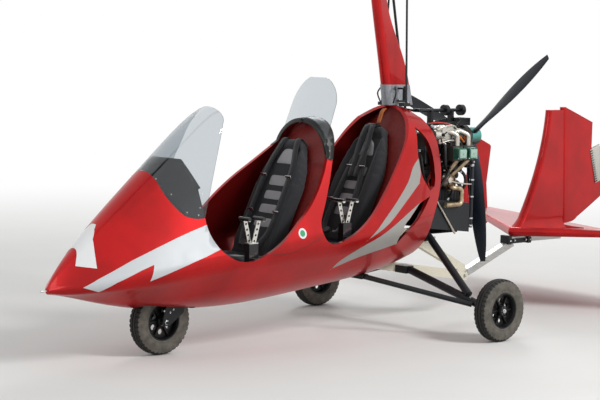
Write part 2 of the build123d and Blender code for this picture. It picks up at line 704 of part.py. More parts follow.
# radius, chord, thickness, pitch in degrees, sweep
prop_rows = (
    (40, 60, 34, 52, 0),
    (200, 96, 22, 40, 8),
    (450, 112, 13, 26, 22),
    (700, 92, 8, 19, 6),
    (prop_radius, 40, 4, 15, -34),
)
prop_hub_r = 62
with BuildPart() as prop_blade:
    for radius, chord, thick, pitch, sweep_by in prop_rows:
        across = (cos(radians(pitch)), -sin(radians(pitch)), 0)
        with BuildSketch(Plane(origin=(0, 0, radius), x_dir=across, z_dir=(0, 0, 1))):
            with Locations((sweep_by, 0)):
                with BuildLine():
                    ThreePointArc((-chord / 2, 0), (-chord / 8, thick / 2), (chord / 2, 0))
                    ThreePointArc((chord / 2, 0), (-chord / 8, -thick / 2), (-chord / 2, 0))
                make_face()
    loft()

with BuildPart() as prop_blades:
    for angle in prop_angles:
        add(prop_blade.part.rotate(Axis.Y, angle).moved(Location((0, prop_y, prop_z))))
    with Locations(Location((0, prop_y, prop_z), (90, 0, 0))):
        Cylinder(prop_hub_r + seat_gap, 200, mode=Mode.SUBTRACT)
save(prop_blades, "prop_blades")

with BuildPart() as prop_hub:
    with Locations(Location((0, 965, prop_z), (-90, 0, 0))):
        Cylinder(prop_hub_r, 90, align=(Align.CENTER, Align.CENTER, Align.MIN))
save(prop_hub, "prop_hub")

# Main gear: a leg, a drag brace and a stub axle each side, held up by a strut
leg_root = (130, 312, 382)
leg_end = (740, main_axle_y - 4, 206)
brace_root = (130, -104, 366)
strut_head = (135, 467, 612)
strut_foot = (625, main_axle_y - 17, 272)
stub_inner_x = track / 2 - tyre_width / 2 - 25
with BuildPart() as gear_legs:
    for side in (1, -1):
        rod((side * leg_root[0], *leg_root[1:]), (side * leg_end[0], *leg_end[1:]), 26)
        rod((side * brace_root[0], *brace_root[1:]), (side * (leg_end[0] - 60), leg_end[1] - 40,
                                                     leg_end[2] + 10), 17)
        rod((side * (leg_end[0] - 20), main_axle_y, leg_end[2] + 5),
            (side * stub_inner_x, main_axle_y, axle_z), 28)
        rod((side * stub_inner_x, main_axle_y, axle_z),
            (side * (track / 2 + 40), main_axle_y, axle_z), axle_r)
        with Locations((side * (leg_root[0] - 52), leg_root[1], leg_root[2])):
            Box(105, 70, 50)
        with Locations((side * (brace_root[0] - 52), brace_root[1], brace_root[2])):
            Box(105, 60, 30)
    add(keel_frame.part, mode=Mode.SUBTRACT)
    add(hull_form.part, mode=Mode.SUBTRACT)
save(gear_legs, "gear_legs")

with BuildPart() as gear_struts:
    for side in (1, -1):
        rod((side * strut_head[0], *strut_head[1:]), (side * strut_foot[0], *strut_foot[1:]), 25)
    with Locations((0, strut_head[1], strut_head[2] - 16)):
        Box(2 * strut_head[0], 56, 60)
    add(gear_legs.part, mode=Mode.SUBTRACT)
    add(keel_frame.part, mode=Mode.SUBTRACT)
save(gear_struts, "gear_struts")

# Wheels: one tyre and one rim form, set on each of the three axles
hub_r = 32
wheel_rows = (("main_port", track / 2, main_axle_y), ("main_stbd", -track / 2, main_axle_y),
              ("nose", 0, nose_axle_y))
tyre_r, rim_r = tyre_od / 2, rim_od / 2
half_tyre, half_rim = tyre_width / 2, rim_width / 2
for name, x, y in wheel_rows:
    centre = Location((x, y, axle_z))
    with BuildPart() as tyre:
        with BuildSketch(Plane.XY):
            with BuildLine():
                Polyline(
                    (-half_rim, rim_r), (-half_tyre, rim_r + 28), (-half_tyre, tyre_r - 32),
                    (-half_tyre + 14, tyre_r - 10), (-22, tyre_r), (22, tyre_r),
                    (half_tyre - 14, tyre_r - 10), (half_tyre, tyre_r - 32),
                    (half_tyre, rim_r + 28), (half_rim, rim_r), close=True)
            make_face()
        revolve(axis=Axis.X)
    tyre_part = tyre.part.moved(centre)
    tyre_part.label = f"{name}_tyre"
    export_step(tyre_part, f"parts/{name}_tyre.step")
    with BuildPart() as rim:
        with BuildSketch(Plane.XY):
            with BuildLine():
                Polyline(
                    (-half_rim, rim_r), (half_rim, rim_r), (half_rim, rim_r - 8),
                    (10, rim_r - 20), (10, hub_r), (half_rim - 6, hub_r),
                    (half_rim - 6, axle_r + running_gap), (6 - half_rim, axle_r + running_gap),
                    (6 - half_rim, hub_r), (-2, hub_r), (-2, rim_r - 20),
                    (-half_rim, rim_r - 8), close=True)
            make_face()
        revolve(axis=Axis.X)
        with Locations(Location((0, 0, 0), (0, 90, 0))):
            with PolarLocations((rim_r + hub_r - 20) / 2, 6):
                Cylinder(17, 60, mode=Mode.SUBTRACT)
    rim_part = rim.part.moved(centre)
    rim_part.label = f"{name}_rim"
    export_step(rim_part, f"parts/{name}_rim.step")

# Nose fork, raked with its steerer, and the head tube on the keel's front end
steer_plane = Plane(origin=(0, nose_axle_y, axle_z), x_dir=(1, 0, 0),
                    z_dir=(0, sin(radians(fork_rake)), cos(radians(fork_rake))))
crown_z = tyre_r + 14
crown_plate = 22
steerer_r = 22
head_low = crown_z + crown_plate + 3
head_length = 110
leg_inner_x = tyre_width / 2 + 12
with BuildPart() as nose_fork:
    with BuildSketch(steer_plane.offset(crown_z)):
        RectangleRounded(2 * leg_inner_x + 16, 60, 8)
    extrude(amount=crown_plate)
    with BuildSketch(steer_plane.offset(crown_z)):
        Circle(steerer_r)
    extrude(amount=crown_plate + head_length + 20)
    for side in (1, -1):
        leg_plane = Plane(origin=steer_plane.from_local_coords(Vector(side * (leg_inner_x + 4), 0, 0)),
                          x_dir=steer_plane.y_dir, z_dir=(1, 0, 0))
        with BuildSketch(leg_plane):
            with BuildLine():
                Polyline((-24, -20), (24, -20), (110, 80), (108, 118), (30, 130),
                         (26, crown_z), (-26, crown_z), (-30, 70), close=True)
            make_face()
        extrude(amount=4, both=True)
    with Locations(Location((0, nose_axle_y, axle_z), (0, 90, 0))):
        Cylinder(axle_r, 2 * leg_inner_x + 40)
save(nose_fork, "nose_fork")

with BuildPart() as nose_head:
    with BuildSketch(steer_plane.offset(head_low)):
        Circle(steerer_r + 9)
        Circle(steerer_r + running_gap, mode=Mode.SUBTRACT)
    extrude(amount=head_length)
    plate_half = 20
    head_mid = steer_plane.from_local_coords(Vector(0, steerer_r + 7, head_low + head_length / 2))
    with BuildSketch(Plane.YZ):
        with BuildLine():
            Polyline((head_mid.Y, head_mid.Z - 40), (head_mid.Y, head_mid.Z + 40),
                     (keel_front[0] + 40, keel_front[1] + 140),
                     (keel_front[0] + 55, keel_front[1] + 34),
                     (keel_front[0] + 4, keel_front[1] + 26), close=True)
        make_face()
    extrude(amount=plate_half, both=True)
    with BuildSketch(steer_plane.offset(head_low - 20)):
        Circle(steerer_r + running_gap)
    extrude(amount=head_length + 40, mode=Mode.SUBTRACT)
    add(keel_frame.part, mode=Mode.SUBTRACT)
save(nose_head, "nose_head")


# Fin moulded on the stabiliser with a flared foot, and the rudder on its hinge line
hinge_way = Vector(0, hinge_head[0] - hinge_foot[0], hinge_head[1] - hinge_foot[1]).normalized()
cove_r = rudder_nose_r + moving_gap
fin_tail_half = rudder_nose_r - 2
# Z, leading edge Y, nose radius, half width at the hinge
fin_rows = (
    (tail_z, 1464, 58, 46),
    (tail_z + 35, 1506, 45, fin_tail_half + 4),
    (tail_z + 90, 1560, 38, fin_tail_half),
    (850, 1663, 36, fin_tail_half),
    (1140, 1770, 33, fin_tail_half),
    (hinge_head[1] - 20, 1822, 30, fin_tail_half),
)


def fin_section(row):
    z, lead, r, half_tail = row
    hinge_y = hinge_foot[0] + (z - hinge_foot[1]) * hinge_way.Y / hinge_way.Z
    run = hinge_y - 12 - lead
    with BuildSketch(Plane(origin=(0, lead, z), x_dir=(0, 1, 0), z_dir=(0, 0, 1))) as section:
        with BuildLine():
            ThreePointArc((0.6 * r, r), (0, 0), (0.6 * r, -r))
            Line((0.6 * r, -r), (run, -half_tail))
            Line((run, -half_tail), (run, half_tail))
            Line((run, half_tail), (0.6 * r, r))
        make_face()
    return section.sketch


with BuildPart() as fin:
    loft([fin_section(row) for row in fin_rows[:3]])
    loft([fin_section(row) for row in fin_rows[2:]])
    with BuildSketch(Plane(origin=(0, *hinge_foot), z_dir=hinge_way).offset(-moving_gap)):
        Circle(cove_r)
    extrude(amount=1500, mode=Mode.SUBTRACT)
    # Low ridge that carries the flare on behind the hinge
    extrude(side_outline(
        (1990, 530), (1990, 580), (2045, 580), ((2120, 566), (2280, 542)), (2280, 520)),
        amount=12, both=True)
    add(stabiliser_form.part, mode=Mode.SUBTRACT)
save(fin, "fin")

with BuildPart() as rudder:
    extrude(side_outline(
        hinge_foot, hinge_head, (2332, 1336), (2332, 1140), ((2500, 1010), (2570, 860)),
        ((2560, 800), (2470, 778)), ((2330, 704), (2187, 633)), ((2140, 606), (2095, 597)),
        (2045, 592)),
        amount=60, both=True)
    with BuildSketch(Plane.XY.offset(400)):
        with BuildLine():
            Polyline((-rudder_nose_r, 1900), (-rudder_nose_r, 2060), (-5, 2600), (5, 2600),
                     (rudder_nose_r, 2060), (rudder_nose_r, 1900), close=True)
        make_face()
    extrude(amount=1200, mode=Mode.INTERSECT)
    with BuildSketch(Plane(origin=(0, *hinge_foot), z_dir=hinge_way)):
        Circle(rudder_nose_r)
    extrude(amount=(Vector(*hinge_head) - Vector(*hinge_foot)).length)
save(rudder, "rudder")

with BuildPart() as endplates:
    for side in (1, -1):
        with BuildSketch(Plane.YZ.offset(side * (tail_half_span + seat_gap))) as endplate_outline:
            with BuildLine():
                Polyline((2170, 450), (2500, 450), (2462, 780), (2505, 1085), (2350, 1150),
                         (2255, 900), close=True)
            make_face()
            fillet(endplate_outline.vertices(), 28)
        extrude(amount=side * 24)
save(endplates, "endplates")

# Cockpit controls: sticks, pedal tubes and the lever quadrants on the port side
with BuildPart() as control_sticks:
    for y, floor_z, top_z in ((-1388, 343, 780), (-715, 385, 820)):
        rod((0, y, floor_z + 30), (0, y + 10, top_z), 11)
        with Locations((0, y, floor_z + 35)):
            Box(60, 50, 40)
    add(keel_frame.part, mode=Mode.SUBTRACT)
    add(seat_bases.part, mode=Mode.SUBTRACT)
save(control_sticks, "control_sticks")

# Each quadrant: a bracket off the side wall, two drilled plates in a V and a grip on each
# Y, Z of the plates' feet, Z of the bracket on the wall
quadrant_rows = ((-1210, 678, 570), (-440, 755, 655))
quadrant_x = 285
plate_lean = 15
plate_length = 160
with BuildPart() as lever_quadrants:
    for y, z, wall_z in quadrant_rows:
        with Locations((quadrant_x, y, wall_z - 15)):
            Box(46, 70, z - wall_z + 15, align=(Align.CENTER, Align.CENTER, Align.MIN))
        with Locations((quadrant_x + 20, y, wall_z)):
            Box(80, 50, 30)
        for lean in (1, -1):
            x = quadrant_x + lean * 12
            plate = Plane(origin=(x, y + lean * 4, z - 14), z_dir=(1, 0, 0),
                          x_dir=(0, cos(radians(plate_lean)), -lean * sin(radians(plate_lean))))
            with BuildSketch(plate):
                with Locations((0, plate_length / 2)):
                    Rectangle(28, plate_length)
                with Locations(*((0, 24 + 36 * n) for n in range(4))):
                    Circle(8, mode=Mode.SUBTRACT)
            extrude(amount=3, both=True)
            top = plate.from_local_coords(Vector(0, plate_length + 4, 0))
            rod((x - 48, top.Y, top.Z), (x + 48, top.Y, top.Z), 13)
    add(body_shell.part, mode=Mode.SUBTRACT)
    add(hump_fairing.part, mode=Mode.SUBTRACT)
save(lever_quadrants, "lever_quadrants")

# Pitot tube at the tip of the nose
with BuildPart() as pitot_tube:
    rod((0, hull_rows[0][0], 450), (0, hull_rows[0][0] - 45, 450), 5)
save(pitot_tube, "pitot_tube")
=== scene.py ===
import math

import bmesh
import bpy
from mathutils import Matrix, Vector
from mathutils.bvhtree import BVHTree
from mathutils.interpolate import poly_3d_calc


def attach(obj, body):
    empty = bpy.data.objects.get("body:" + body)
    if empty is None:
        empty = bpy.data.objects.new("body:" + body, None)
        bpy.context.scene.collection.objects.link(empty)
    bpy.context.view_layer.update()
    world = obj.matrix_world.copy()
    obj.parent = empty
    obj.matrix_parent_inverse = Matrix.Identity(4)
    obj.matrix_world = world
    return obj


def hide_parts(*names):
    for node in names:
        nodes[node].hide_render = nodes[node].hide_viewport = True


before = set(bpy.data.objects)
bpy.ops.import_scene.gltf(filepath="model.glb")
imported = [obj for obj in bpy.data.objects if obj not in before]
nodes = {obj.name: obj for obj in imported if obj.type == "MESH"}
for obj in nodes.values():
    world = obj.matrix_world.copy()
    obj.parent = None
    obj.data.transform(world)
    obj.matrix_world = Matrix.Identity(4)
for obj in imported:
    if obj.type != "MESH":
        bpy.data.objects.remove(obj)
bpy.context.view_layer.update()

# Camera
# A long lens about 1.9 m above the ground, off the port bow. The rotor and the head of the mast lie
# above the picture's edge.


def placed(name, data):
    """A new scene object that holds the data."""
    made = bpy.data.objects.new(name, data)
    bpy.context.scene.collection.objects.link(made)
    return made


camera_data = bpy.data.cameras.new("camera")
camera_data.lens = 101.74
camera_data.sensor_width = 36
camera_data.clip_end = 200
camera = placed("camera", camera_data)
bpy.context.scene.camera = camera
yaw, pitch, roll = math.radians(138.40), math.radians(-5.489), math.radians(1.324)
look = Vector((math.cos(yaw) * math.cos(pitch), math.sin(yaw) * math.cos(pitch), math.sin(pitch)))
level_right = look.cross(Vector((0, 0, 1))).normalized()
level_up = level_right.cross(look)
camera_right = math.cos(roll) * level_right + math.sin(roll) * level_up
camera_up = -math.sin(roll) * level_right + math.cos(roll) * level_up
eye = Matrix.Translation((8.0857, -7.7522, 1.9212))
camera.matrix_world = eye @ Matrix((camera_right, camera_up, -look)).transposed().to_4x4()

# Hull and painted composite pieces
# The hull, mast, fin, rudder and end plates are laid up in moulds from glass cloth and epoxy,
# rubbed down, sprayed candy red over a metallic ground and finished with two coats of lacquer.


def rgb(code):
    """Linear colour of an sRGB hex code."""
    channels = [int(code[i:i + 2], 16) / 255 for i in (1, 3, 5)]
    return [c / 12.92 if c <= 0.04045 else ((c + 0.055) / 1.055) ** 2.4 for c in channels]


def add_node(tree, kind, settings=(), links=()):
    """A shader node with its attributes or sockets set, and sockets linked from other nodes' outputs."""
    made = tree.nodes.new(kind)
    for key, value in dict(settings).items():
        if isinstance(key, str) and hasattr(made, key):
            setattr(made, key, value)
        else:
            made.inputs[key].default_value = value
    for key, source in dict(links).items():
        tree.links.new(source, made.inputs[key])
    return made


def finish_of(name, code, **sockets):
    """A Principled material with one base colour and its constant sockets."""
    material = bpy.data.materials.new(name)
    material.use_nodes = True
    shader = material.node_tree.nodes["Principled BSDF"]
    shader.inputs["Base Color"].default_value = (*rgb(code), 1)
    for key, value in sockets.items():
        shader.inputs[key.replace("_", " ")].default_value = value
    return material, material.node_tree, shader


def grain(tree, shader, size, height, rough=None, shades=None, stretch=(1, 1, 1)):
    """Surface texture in millimetres: a bump, and if given a roughness range and two shades."""
    place = add_node(tree, "ShaderNodeTexCoord")
    scaled = add_node(tree, "ShaderNodeMapping", {"Scale": stretch}, {"Vector": place.outputs["Object"]})
    noise = add_node(tree, "ShaderNodeTexNoise", {"Scale": 1000 / size, "Detail": 4.0},
                     {"Vector": scaled.outputs["Vector"]})
    if height:
        bump = add_node(tree, "ShaderNodeBump", {"Strength": 1.0, "Distance": height / 1000},
                        {"Height": noise.outputs["Fac"]})
        tree.links.new(bump.outputs["Normal"], shader.inputs["Normal"])
    if rough:
        spread = add_node(tree, "ShaderNodeMapRange", {"From Min": 0.3, "From Max": 0.7, "To Min": rough[0],
                                                       "To Max": rough[1]}, {"Value": noise.outputs["Fac"]})
        tree.links.new(spread.outputs["Result"], shader.inputs["Roughness"])
    if shades:
        ramp = add_node(tree, "ShaderNodeValToRGB", (), {"Fac": noise.outputs["Fac"]})
        ramp.color_ramp.elements[0].position, ramp.color_ramp.elements[1].position = 0.35, 0.65
        ramp.color_ramp.elements[0].color = (*rgb(shades[0]), 1)
        ramp.color_ramp.elements[1].color = (*rgb(shades[1]), 1)
        tree.links.new(ramp.outputs["Color"], shader.inputs["Base Color"])


def surface(name, code, size, height, rough=None, shades=None, stretch=(1, 1, 1), **sockets):
    """A material with nothing but its constant sockets and its grain."""
    material, tree, shader = finish_of(name, code, **sockets)
    grain(tree, shader, size, height, rough, shades, stretch)
    return material


def reckon(tree, operation, *values):
    """The output of a Math node on numbers and other nodes' outputs."""
    numbers = {k: v for k, v in enumerate(values) if isinstance(v, (int, float))}
    sources = {k: v for k, v in enumerate(values) if k not in numbers}
    return add_node(tree, "ShaderNodeMath", {"operation": operation, **numbers}, sources).outputs[0]


def mixed(tree, factor, first, second):
    """A colour between two, each of them a hex code or another node's output."""
    codes = {k: (*rgb(c), 1) for k, c in ((6, first), (7, second)) if isinstance(c, str)}
    sources = {k: c for k, c in ((6, first), (7, second)) if k not in codes}
    return add_node(tree, "ShaderNodeMix", {"data_type": "RGBA", **codes},
                    {"Factor": factor, **sources}).outputs[2]


def dress(material, *names):
    """Gives the named CAD nodes the material."""
    for name in names:
        nodes[name].data.materials.clear()
        nodes[name].data.materials.append(material)


# Candy lacquer: deep red under a mirror-smooth coat, which shows sharp reflections over a softer
# metallic glow. The shade wanders a little over about 200 mm, as sprayed candy does.
candy_red, candy_shades, candy_patch = "#AC0407", ("#A20306", "#B70508"), 220
lacquer = dict(Metallic=0.55, Roughness=0.36, IOR=1.35, Coat_Weight=0.4, Coat_Roughness=0.03, Coat_IOR=1.4)
red_lacquer = surface("red_lacquer_on_glass_composite", candy_red, candy_patch, 0, shades=candy_shades,
                      **lacquer)
dress(red_lacquer, "mast", "stabiliser", "fin", "rudder", "endplates")

# Inside, the same laminate is left dark wine red, which is partly painted shade. What faces the cockpit's
# middle line is the inside.
hull_skin, tree, shader = finish_of("red_lacquer_outside_gelcoat_and_painted_shade_inside", candy_red, **lacquer)
grain(tree, shader, candy_patch, 0, shades=candy_shades)
middle_line_z, cockpit_start_y = 0.7, -1.75
outer = shader.inputs["Base Color"].links[0].from_socket
spot = add_node(tree, "ShaderNodeNewGeometry")
offset = add_node(tree, "ShaderNodeVectorMath",
                  {"operation": "MULTIPLY_ADD", 1: (1, 0, 1), 2: (0, 0, -middle_line_z)},
                  {0: spot.outputs["Position"]})
facing = add_node(tree, "ShaderNodeVectorMath", {"operation": "DOT_PRODUCT"},
                  {0: offset.outputs[0], 1: spot.outputs["Normal"]})
within = add_node(tree, "ShaderNodeSeparateXYZ", (), {0: spot.outputs["Position"]})
inner_gelcoat_and_shade = reckon(tree, "MULTIPLY", reckon(tree, "GREATER_THAN", within.outputs["Y"], cockpit_start_y),
               reckon(tree, "LESS_THAN", facing.outputs["Value"], 0.0))
# The inside's darker red is partly the gelcoat's own colour and partly painted shade of the cockpit.
tree.links.new(mixed(tree, inner_gelcoat_and_shade, outer, "#7A1212"), shader.inputs["Base Color"])
dress(hull_skin, "body_shell", "hump_fairing")

# Cut vinyl film
# The lightning flash, the grey stripes, the blank nose panel and the round disc are cut from
# adhesive film and laid on the lacquer. They follow the hull's own surface.


def between(p0, p1, p2, p3, steps):
    """Points of a smooth curve from the second of four corners to just before the third."""
    return [0.5 * (2 * p1 + (p2 - p0) * t + (2 * p0 - 5 * p1 + 4 * p2 - p3) * t * t
                   + (3 * p1 - p0 - 3 * p2 + p3) * t ** 3) for t in (s / steps for s in range(steps))]


def closed_line(points, steps):
    """A closed outline through the corners, straight with one step and smooth with more."""
    corners = [Vector(p) for p in points]
    if steps < 2:
        return corners
    return [spot for i in range(len(corners))
            for spot in between(*(corners[(i + k) % len(corners)] for k in (-1, 0, 1, 2)), steps)]


def inside(y, z, outline):
    """Even-odd test of a side-view point against an outline."""
    hit, last = False, outline[-1]
    for here in outline:
        if (here[1] > z) != (last[1] > z):
            if y < (last[0] - here[0]) * (z - here[1]) / (last[1] - here[1]) + here[0]:
                hit = not hit
        last = here
    return hit


def finder_of(mesh):
    """A search tree for the mesh's nearest face or the face that a line meets."""
    return BVHTree.FromPolygons([v.co for v in mesh.vertices], [tuple(p.vertices) for p in mesh.polygons])


mm, weld_gap = 0.001, 1e-5
skin_reach, least_agreement = 20 * mm, 0.8
skin_trees = [(nodes[name].data, finder_of(nodes[name].data)) for name in ("body_shell", "hump_fairing")]


def skin_normal(point, rough):
    """The hull's own smooth normal at the nearest place on its skin, near the rough one."""
    best = None
    for mesh, finder in skin_trees:
        place, _, index, distance = finder.find_nearest(point, skin_reach)
        if place is not None and (best is None or distance < best[0]):
            best = (distance, mesh, index, place)
    if best is None:
        return rough
    mesh, index, place = best[1:]
    face = mesh.polygons[index]
    corners = [mesh.corner_normals[i].vector for i in face.loop_indices]
    weights = poly_3d_calc([mesh.vertices[i].co for i in face.vertices], place)
    total = Vector((0, 0, 0))
    for weight, normal in zip(weights, corners):
        total += normal * weight
    total.normalize()
    return total if total.dot(rough) > least_agreement else rough


def piece_of(name, mesh, body):
    """The mesh as a scene piece that rides on a body."""
    piece = placed(name, mesh)
    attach(piece, body)
    return piece


nose_line_z, nose_end_y = 0.5, -1.2


def hull_film(name, outline, material, side=1, lift=0.8, steps=1, least=0.02):
    """Film on the hull within a side-view outline of (y, z) in millimetres, lifted off it by a little.
    Side 0 means both sides. Least says how squarely a face must look away from the middle line."""
    line = [p * mm for p in closed_line(outline, steps)]
    heart = nose_line_z if line[0].x < nose_end_y else middle_line_z
    low = [min(p[k] for p in line) for k in (0, 1)]
    high = [max(p[k] for p in line) for k in (0, 1)]
    bm = bmesh.new()
    for mesh, finder in skin_trees:
        bm.from_mesh(mesh)
    away = [f for f in bm.faces
            if max(v.co.y for v in f.verts) < low[0] or min(v.co.y for v in f.verts) > high[0]
            or max(v.co.z for v in f.verts) < low[1] or min(v.co.z for v in f.verts) > high[1]
            or side * f.calc_center_median().x < 0
            or f.normal.dot(f.calc_center_median() * Vector((1, 0, 1)) - Vector((0, 0, heart))) < least]
    bmesh.ops.delete(bm, geom=away, context="FACES")
    bmesh.ops.remove_doubles(bm, verts=bm.verts, dist=weld_gap)
    for here, there in zip(line, line[1:] + line[:1]):
        way = there - here
        bmesh.ops.bisect_plane(bm, geom=bm.verts[:] + bm.edges[:] + bm.faces[:], dist=1e-6,
                               plane_co=(0, here[0], here[1]), plane_no=(0, -way[1], way[0]))
    outside = [f for f in bm.faces if not inside(
        f.calc_center_median().y, f.calc_center_median().z, line)]
    bmesh.ops.delete(bm, geom=outside, context="FACES")
    bm.normal_update()
    normals = [skin_normal(v.co, v.normal.copy()) for v in bm.verts]
    for vertex, normal in zip(bm.verts, normals):
        vertex.co += normal * lift * mm
    made = bpy.data.meshes.new(name)
    bm.to_mesh(made)
    bm.free()
    made.materials.append(material)
    made.shade_smooth()
    made.normals_split_custom_set_from_vertices(normals)
    piece_of(name, made, "airframe")


silver_film = surface("silver_vinyl_film", "#C3C7CA", 90, 0, rough=(0.4, 0.5), Metallic=0.15,
                      Roughness=0.45)
grey_film = surface("grey_vinyl_film", "#9B9894", 90, 0, rough=(0.36, 0.46), Metallic=0.2, Roughness=0.4)
white_film = surface("white_vinyl_film", "#E4E5E6", 60, 0, rough=(0.26, 0.36), Roughness=0.3,
                     Coat_Weight=0.3)
green_film = surface("green_vinyl_film", "#1E9A63", 60, 0, rough=(0.26, 0.36), Roughness=0.3,
                     Coat_Weight=0.3)

# Outlines seen from the side, as (y, z). A corner given twice stays sharp in a smooth outline.
flash = ((-2341, 477), (-2259, 522), (-2170, 564), (-2056, 619), (-1902, 683), (-1761, 738), (-1663, 772),
         (-1583, 797), (-1480, 828), (-1400, 690), (-1588, 624), (-1679, 597), (-1797, 558), (-1964, 500),
         (-1932, 594), (-2014, 564), (-2160, 501), (-2252, 449))
upper_stripe = ((204, 1148), (204, 1148), (143, 1088), (90, 994), (-27, 875), (-157, 766), (-300, 650),
                (-300, 650), (-115, 740), (43, 855), (206, 981), (206, 981), (224, 1052))
lower_stripe = ((212, 856), (212, 856), (115, 812), (-43, 736), (-199, 661), (-356, 597), (-481, 524),
                (-523, 468), (-523, 468), (-308, 534), (-30, 587), (10, 592), (10, 592), (20, 690),
                (90, 757))
nose_panel = ((-2246, 580), (-2221, 737), (-2188, 790), (-2166, 815), (-2160, 900), (-2300, 900),
              (-2300, 700), (-2307, 675), (-2341, 592))
disc_y, disc_z, disc_r, centre_share, disc_corners = -863, 720, 32, 0.62, 28
for side, word in ((1, "port"), (-1, "stbd")):
    hull_film(f"flash_{word}", flash, silver_film, side)
    hull_film(f"upper_stripe_{word}", upper_stripe, grey_film, side, steps=3)
    hull_film(f"lower_stripe_{word}", lower_stripe, grey_film, side, steps=3)
hull_film("nose_panel", nose_panel, white_film, 0)
for name, radius, material, lift in (("round_disc", disc_r, white_film, 0.8),
                                     ("round_disc_centre", disc_r * centre_share, green_film, 1.2)):
    turns = [math.tau * k / disc_corners for k in range(disc_corners)]
    hull_film(name, [(disc_y + radius * math.cos(t), disc_z + radius * math.sin(t)) for t in turns],
              material, 1, lift)

# Hump seam
# The hump is a moulding of its own, let into the hull. A thin dark film along its foot is painted shade of
# the seam's groove.
seam_groove_shade = surface("painted_groove_shade", "#3E0507", 20, 0, rough=(0.45, 0.6), Roughness=0.5)
seam_points = ((-1115, 607), (-1042, 601), (-961, 603), (-890, 620), (-810, 647), (-735, 682), (-690, 702))
seam_width = 3.5
for side, word in ((1, "port"), (-1, "stbd")):
    hull_film(f"hump_seam_{word}", [(y, z + seam_width / 2) for y, z in seam_points]
              + [(y, z - seam_width / 2) for y, z in reversed(seam_points)],
              seam_groove_shade, side, 0.6)

# Black trim band round the open end of the hump
# A strip of black gelcoat over the hump's rolled lip, held by small screws.
black_trim = surface("black_gelcoat_trim", "#0E0F11", 30, 0.01, rough=(0.3, 0.42), Roughness=0.35,
                     IOR=1.4)
band_outline, band_thick = ((-640, 1205), (-540, 1150), (-400, 1230), (-380, 1480), (-640, 1480)), 3
hull_film("hump_band", band_outline, black_trim, 0, band_thick, least=-0.3)

# Small fittings in mesh
# Every turned, bent or boxed fitting below is built up in millimetres and set in place.


def ring_of(bm, centre, across, other, radius, count):
    """A ring of vertices in the plane of two square directions."""
    return [bm.verts.new(centre + (across * math.cos(math.tau * k / count)
                                   + other * math.sin(math.tau * k / count)) * radius) for k in range(count)]


def revolve(bm, origin, axis, profile, count=24):
    """A turned form: (along, radius) pairs in millimetres about an axis through the origin."""
    axis = Vector(axis).normalized()
    across = axis.orthogonal().normalized()
    other = axis.cross(across)
    rings = []
    for along, radius in profile:
        centre = Vector(origin) + axis * along
        rings.append(ring_of(bm, centre, across, other, radius, count) if radius else [bm.verts.new(centre)])
    for low, high in zip(rings, rings[1:]):
        for k in range(count):
            n = (k + 1) % count
            if len(low) == 1 and len(high) > 1:
                bm.faces.new((low[0], high[n], high[k]))
            elif len(high) == 1 and len(low) > 1:
                bm.faces.new((low[k], low[n], high[0]))
            elif len(low) > 1:
                bm.faces.new((low[k], low[n], high[n], high[k]))


def block(bm, centre, size, soft=2, turn=(0, 0, 0)):
    """A box with rounded edges, turned by degrees about X, Y and Z."""
    part = bmesh.new()
    bmesh.ops.create_cube(part, size=1)
    bmesh.ops.scale(part, vec=size, verts=part.verts)
    if soft:
        bmesh.ops.bevel(part, geom=part.edges[:], offset=min(soft, min(size) * 0.45), segments=2,
                        profile=0.6, affect="EDGES")
    for angle, axis in zip(turn, "XYZ"):
        bmesh.ops.rotate(part, matrix=Matrix.Rotation(math.radians(angle), 3, axis), verts=part.verts)
    bmesh.ops.translate(part, vec=centre, verts=part.verts)
    held = bpy.data.meshes.new("held")
    part.to_mesh(held)
    part.free()
    bm.from_mesh(held)
    bpy.data.meshes.remove(held)


def curve_points(points, steps=6):
    """Points on a smooth open curve through the given ones."""
    ends = [Vector(points[0]) * 2 - Vector(points[1])] + [Vector(p) for p in points]
    ends.append(Vector(points[-1]) * 2 - Vector(points[-2]))
    out = [spot for four in zip(ends, ends[1:], ends[2:], ends[3:]) for spot in between(*four, steps)]
    return out + [Vector(points[-1])]


def pipe(bm, points, radius, count=12, steps=6):
    """A round pipe or moulded hose through points in millimetres, with closed ends."""
    line = curve_points(points, steps) if steps > 1 else [Vector(p) for p in points]
    rings, across = [], None
    for i, here in enumerate(line):
        way = (line[min(i + 1, len(line) - 1)] - line[max(i - 1, 0)]).normalized()
        across = way.orthogonal() if across is None else across - way * across.dot(way)
        across = across.normalized()
        other = way.cross(across)
        rings.append(ring_of(bm, here, across, other, radius, count))
    for low, high in zip(rings, rings[1:]):
        for k in range(count):
            n = (k + 1) % count
            bm.faces.new((low[k], low[n], high[n], high[k]))
    bm.faces.new(rings[0][::-1])
    bm.faces.new(rings[-1])


def bolt(bm, centre, axis, size=6):
    """A domed screw or hexagon bolt head on its washer."""
    revolve(bm, centre, axis, ((0, 0), (0, size * 1.1), (size * 0.22, size * 1.1)), 20)
    revolve(bm, centre, axis, ((0, size * 0.85), (size * 0.75, size * 0.85),
                               (size * 0.95, size * 0.6), (size * 0.95, 0)), 6)


def fitting(name, bm, material, body="airframe", angle=35):
    """Turns the millimetre mesh into a scene piece, with edges sharp above the angle in degrees."""
    bmesh.ops.scale(bm, vec=(mm, mm, mm), verts=bm.verts)
    bmesh.ops.recalc_face_normals(bm, faces=bm.faces)
    made = bpy.data.meshes.new(name)
    bm.to_mesh(made)
    bm.free()
    made.materials.append(material)
    made.shade_smooth()
    made.set_sharp_from_angle(angle=math.radians(angle))
    return piece_of(name, made, body)


def hull_hit(x, y, z, toward):
    """Where a line from a point in millimetres first meets the hull, and the normal there, or None."""
    hits = [finder.ray_cast(Vector((x, y, z)) * mm, Vector(toward)) for mesh, finder in skin_trees]
    hits = [hit for hit in hits if hit[0] is not None]
    if hits:
        place, normal = min(hits, key=lambda hit: hit[3])[:2]
        return place / mm, normal


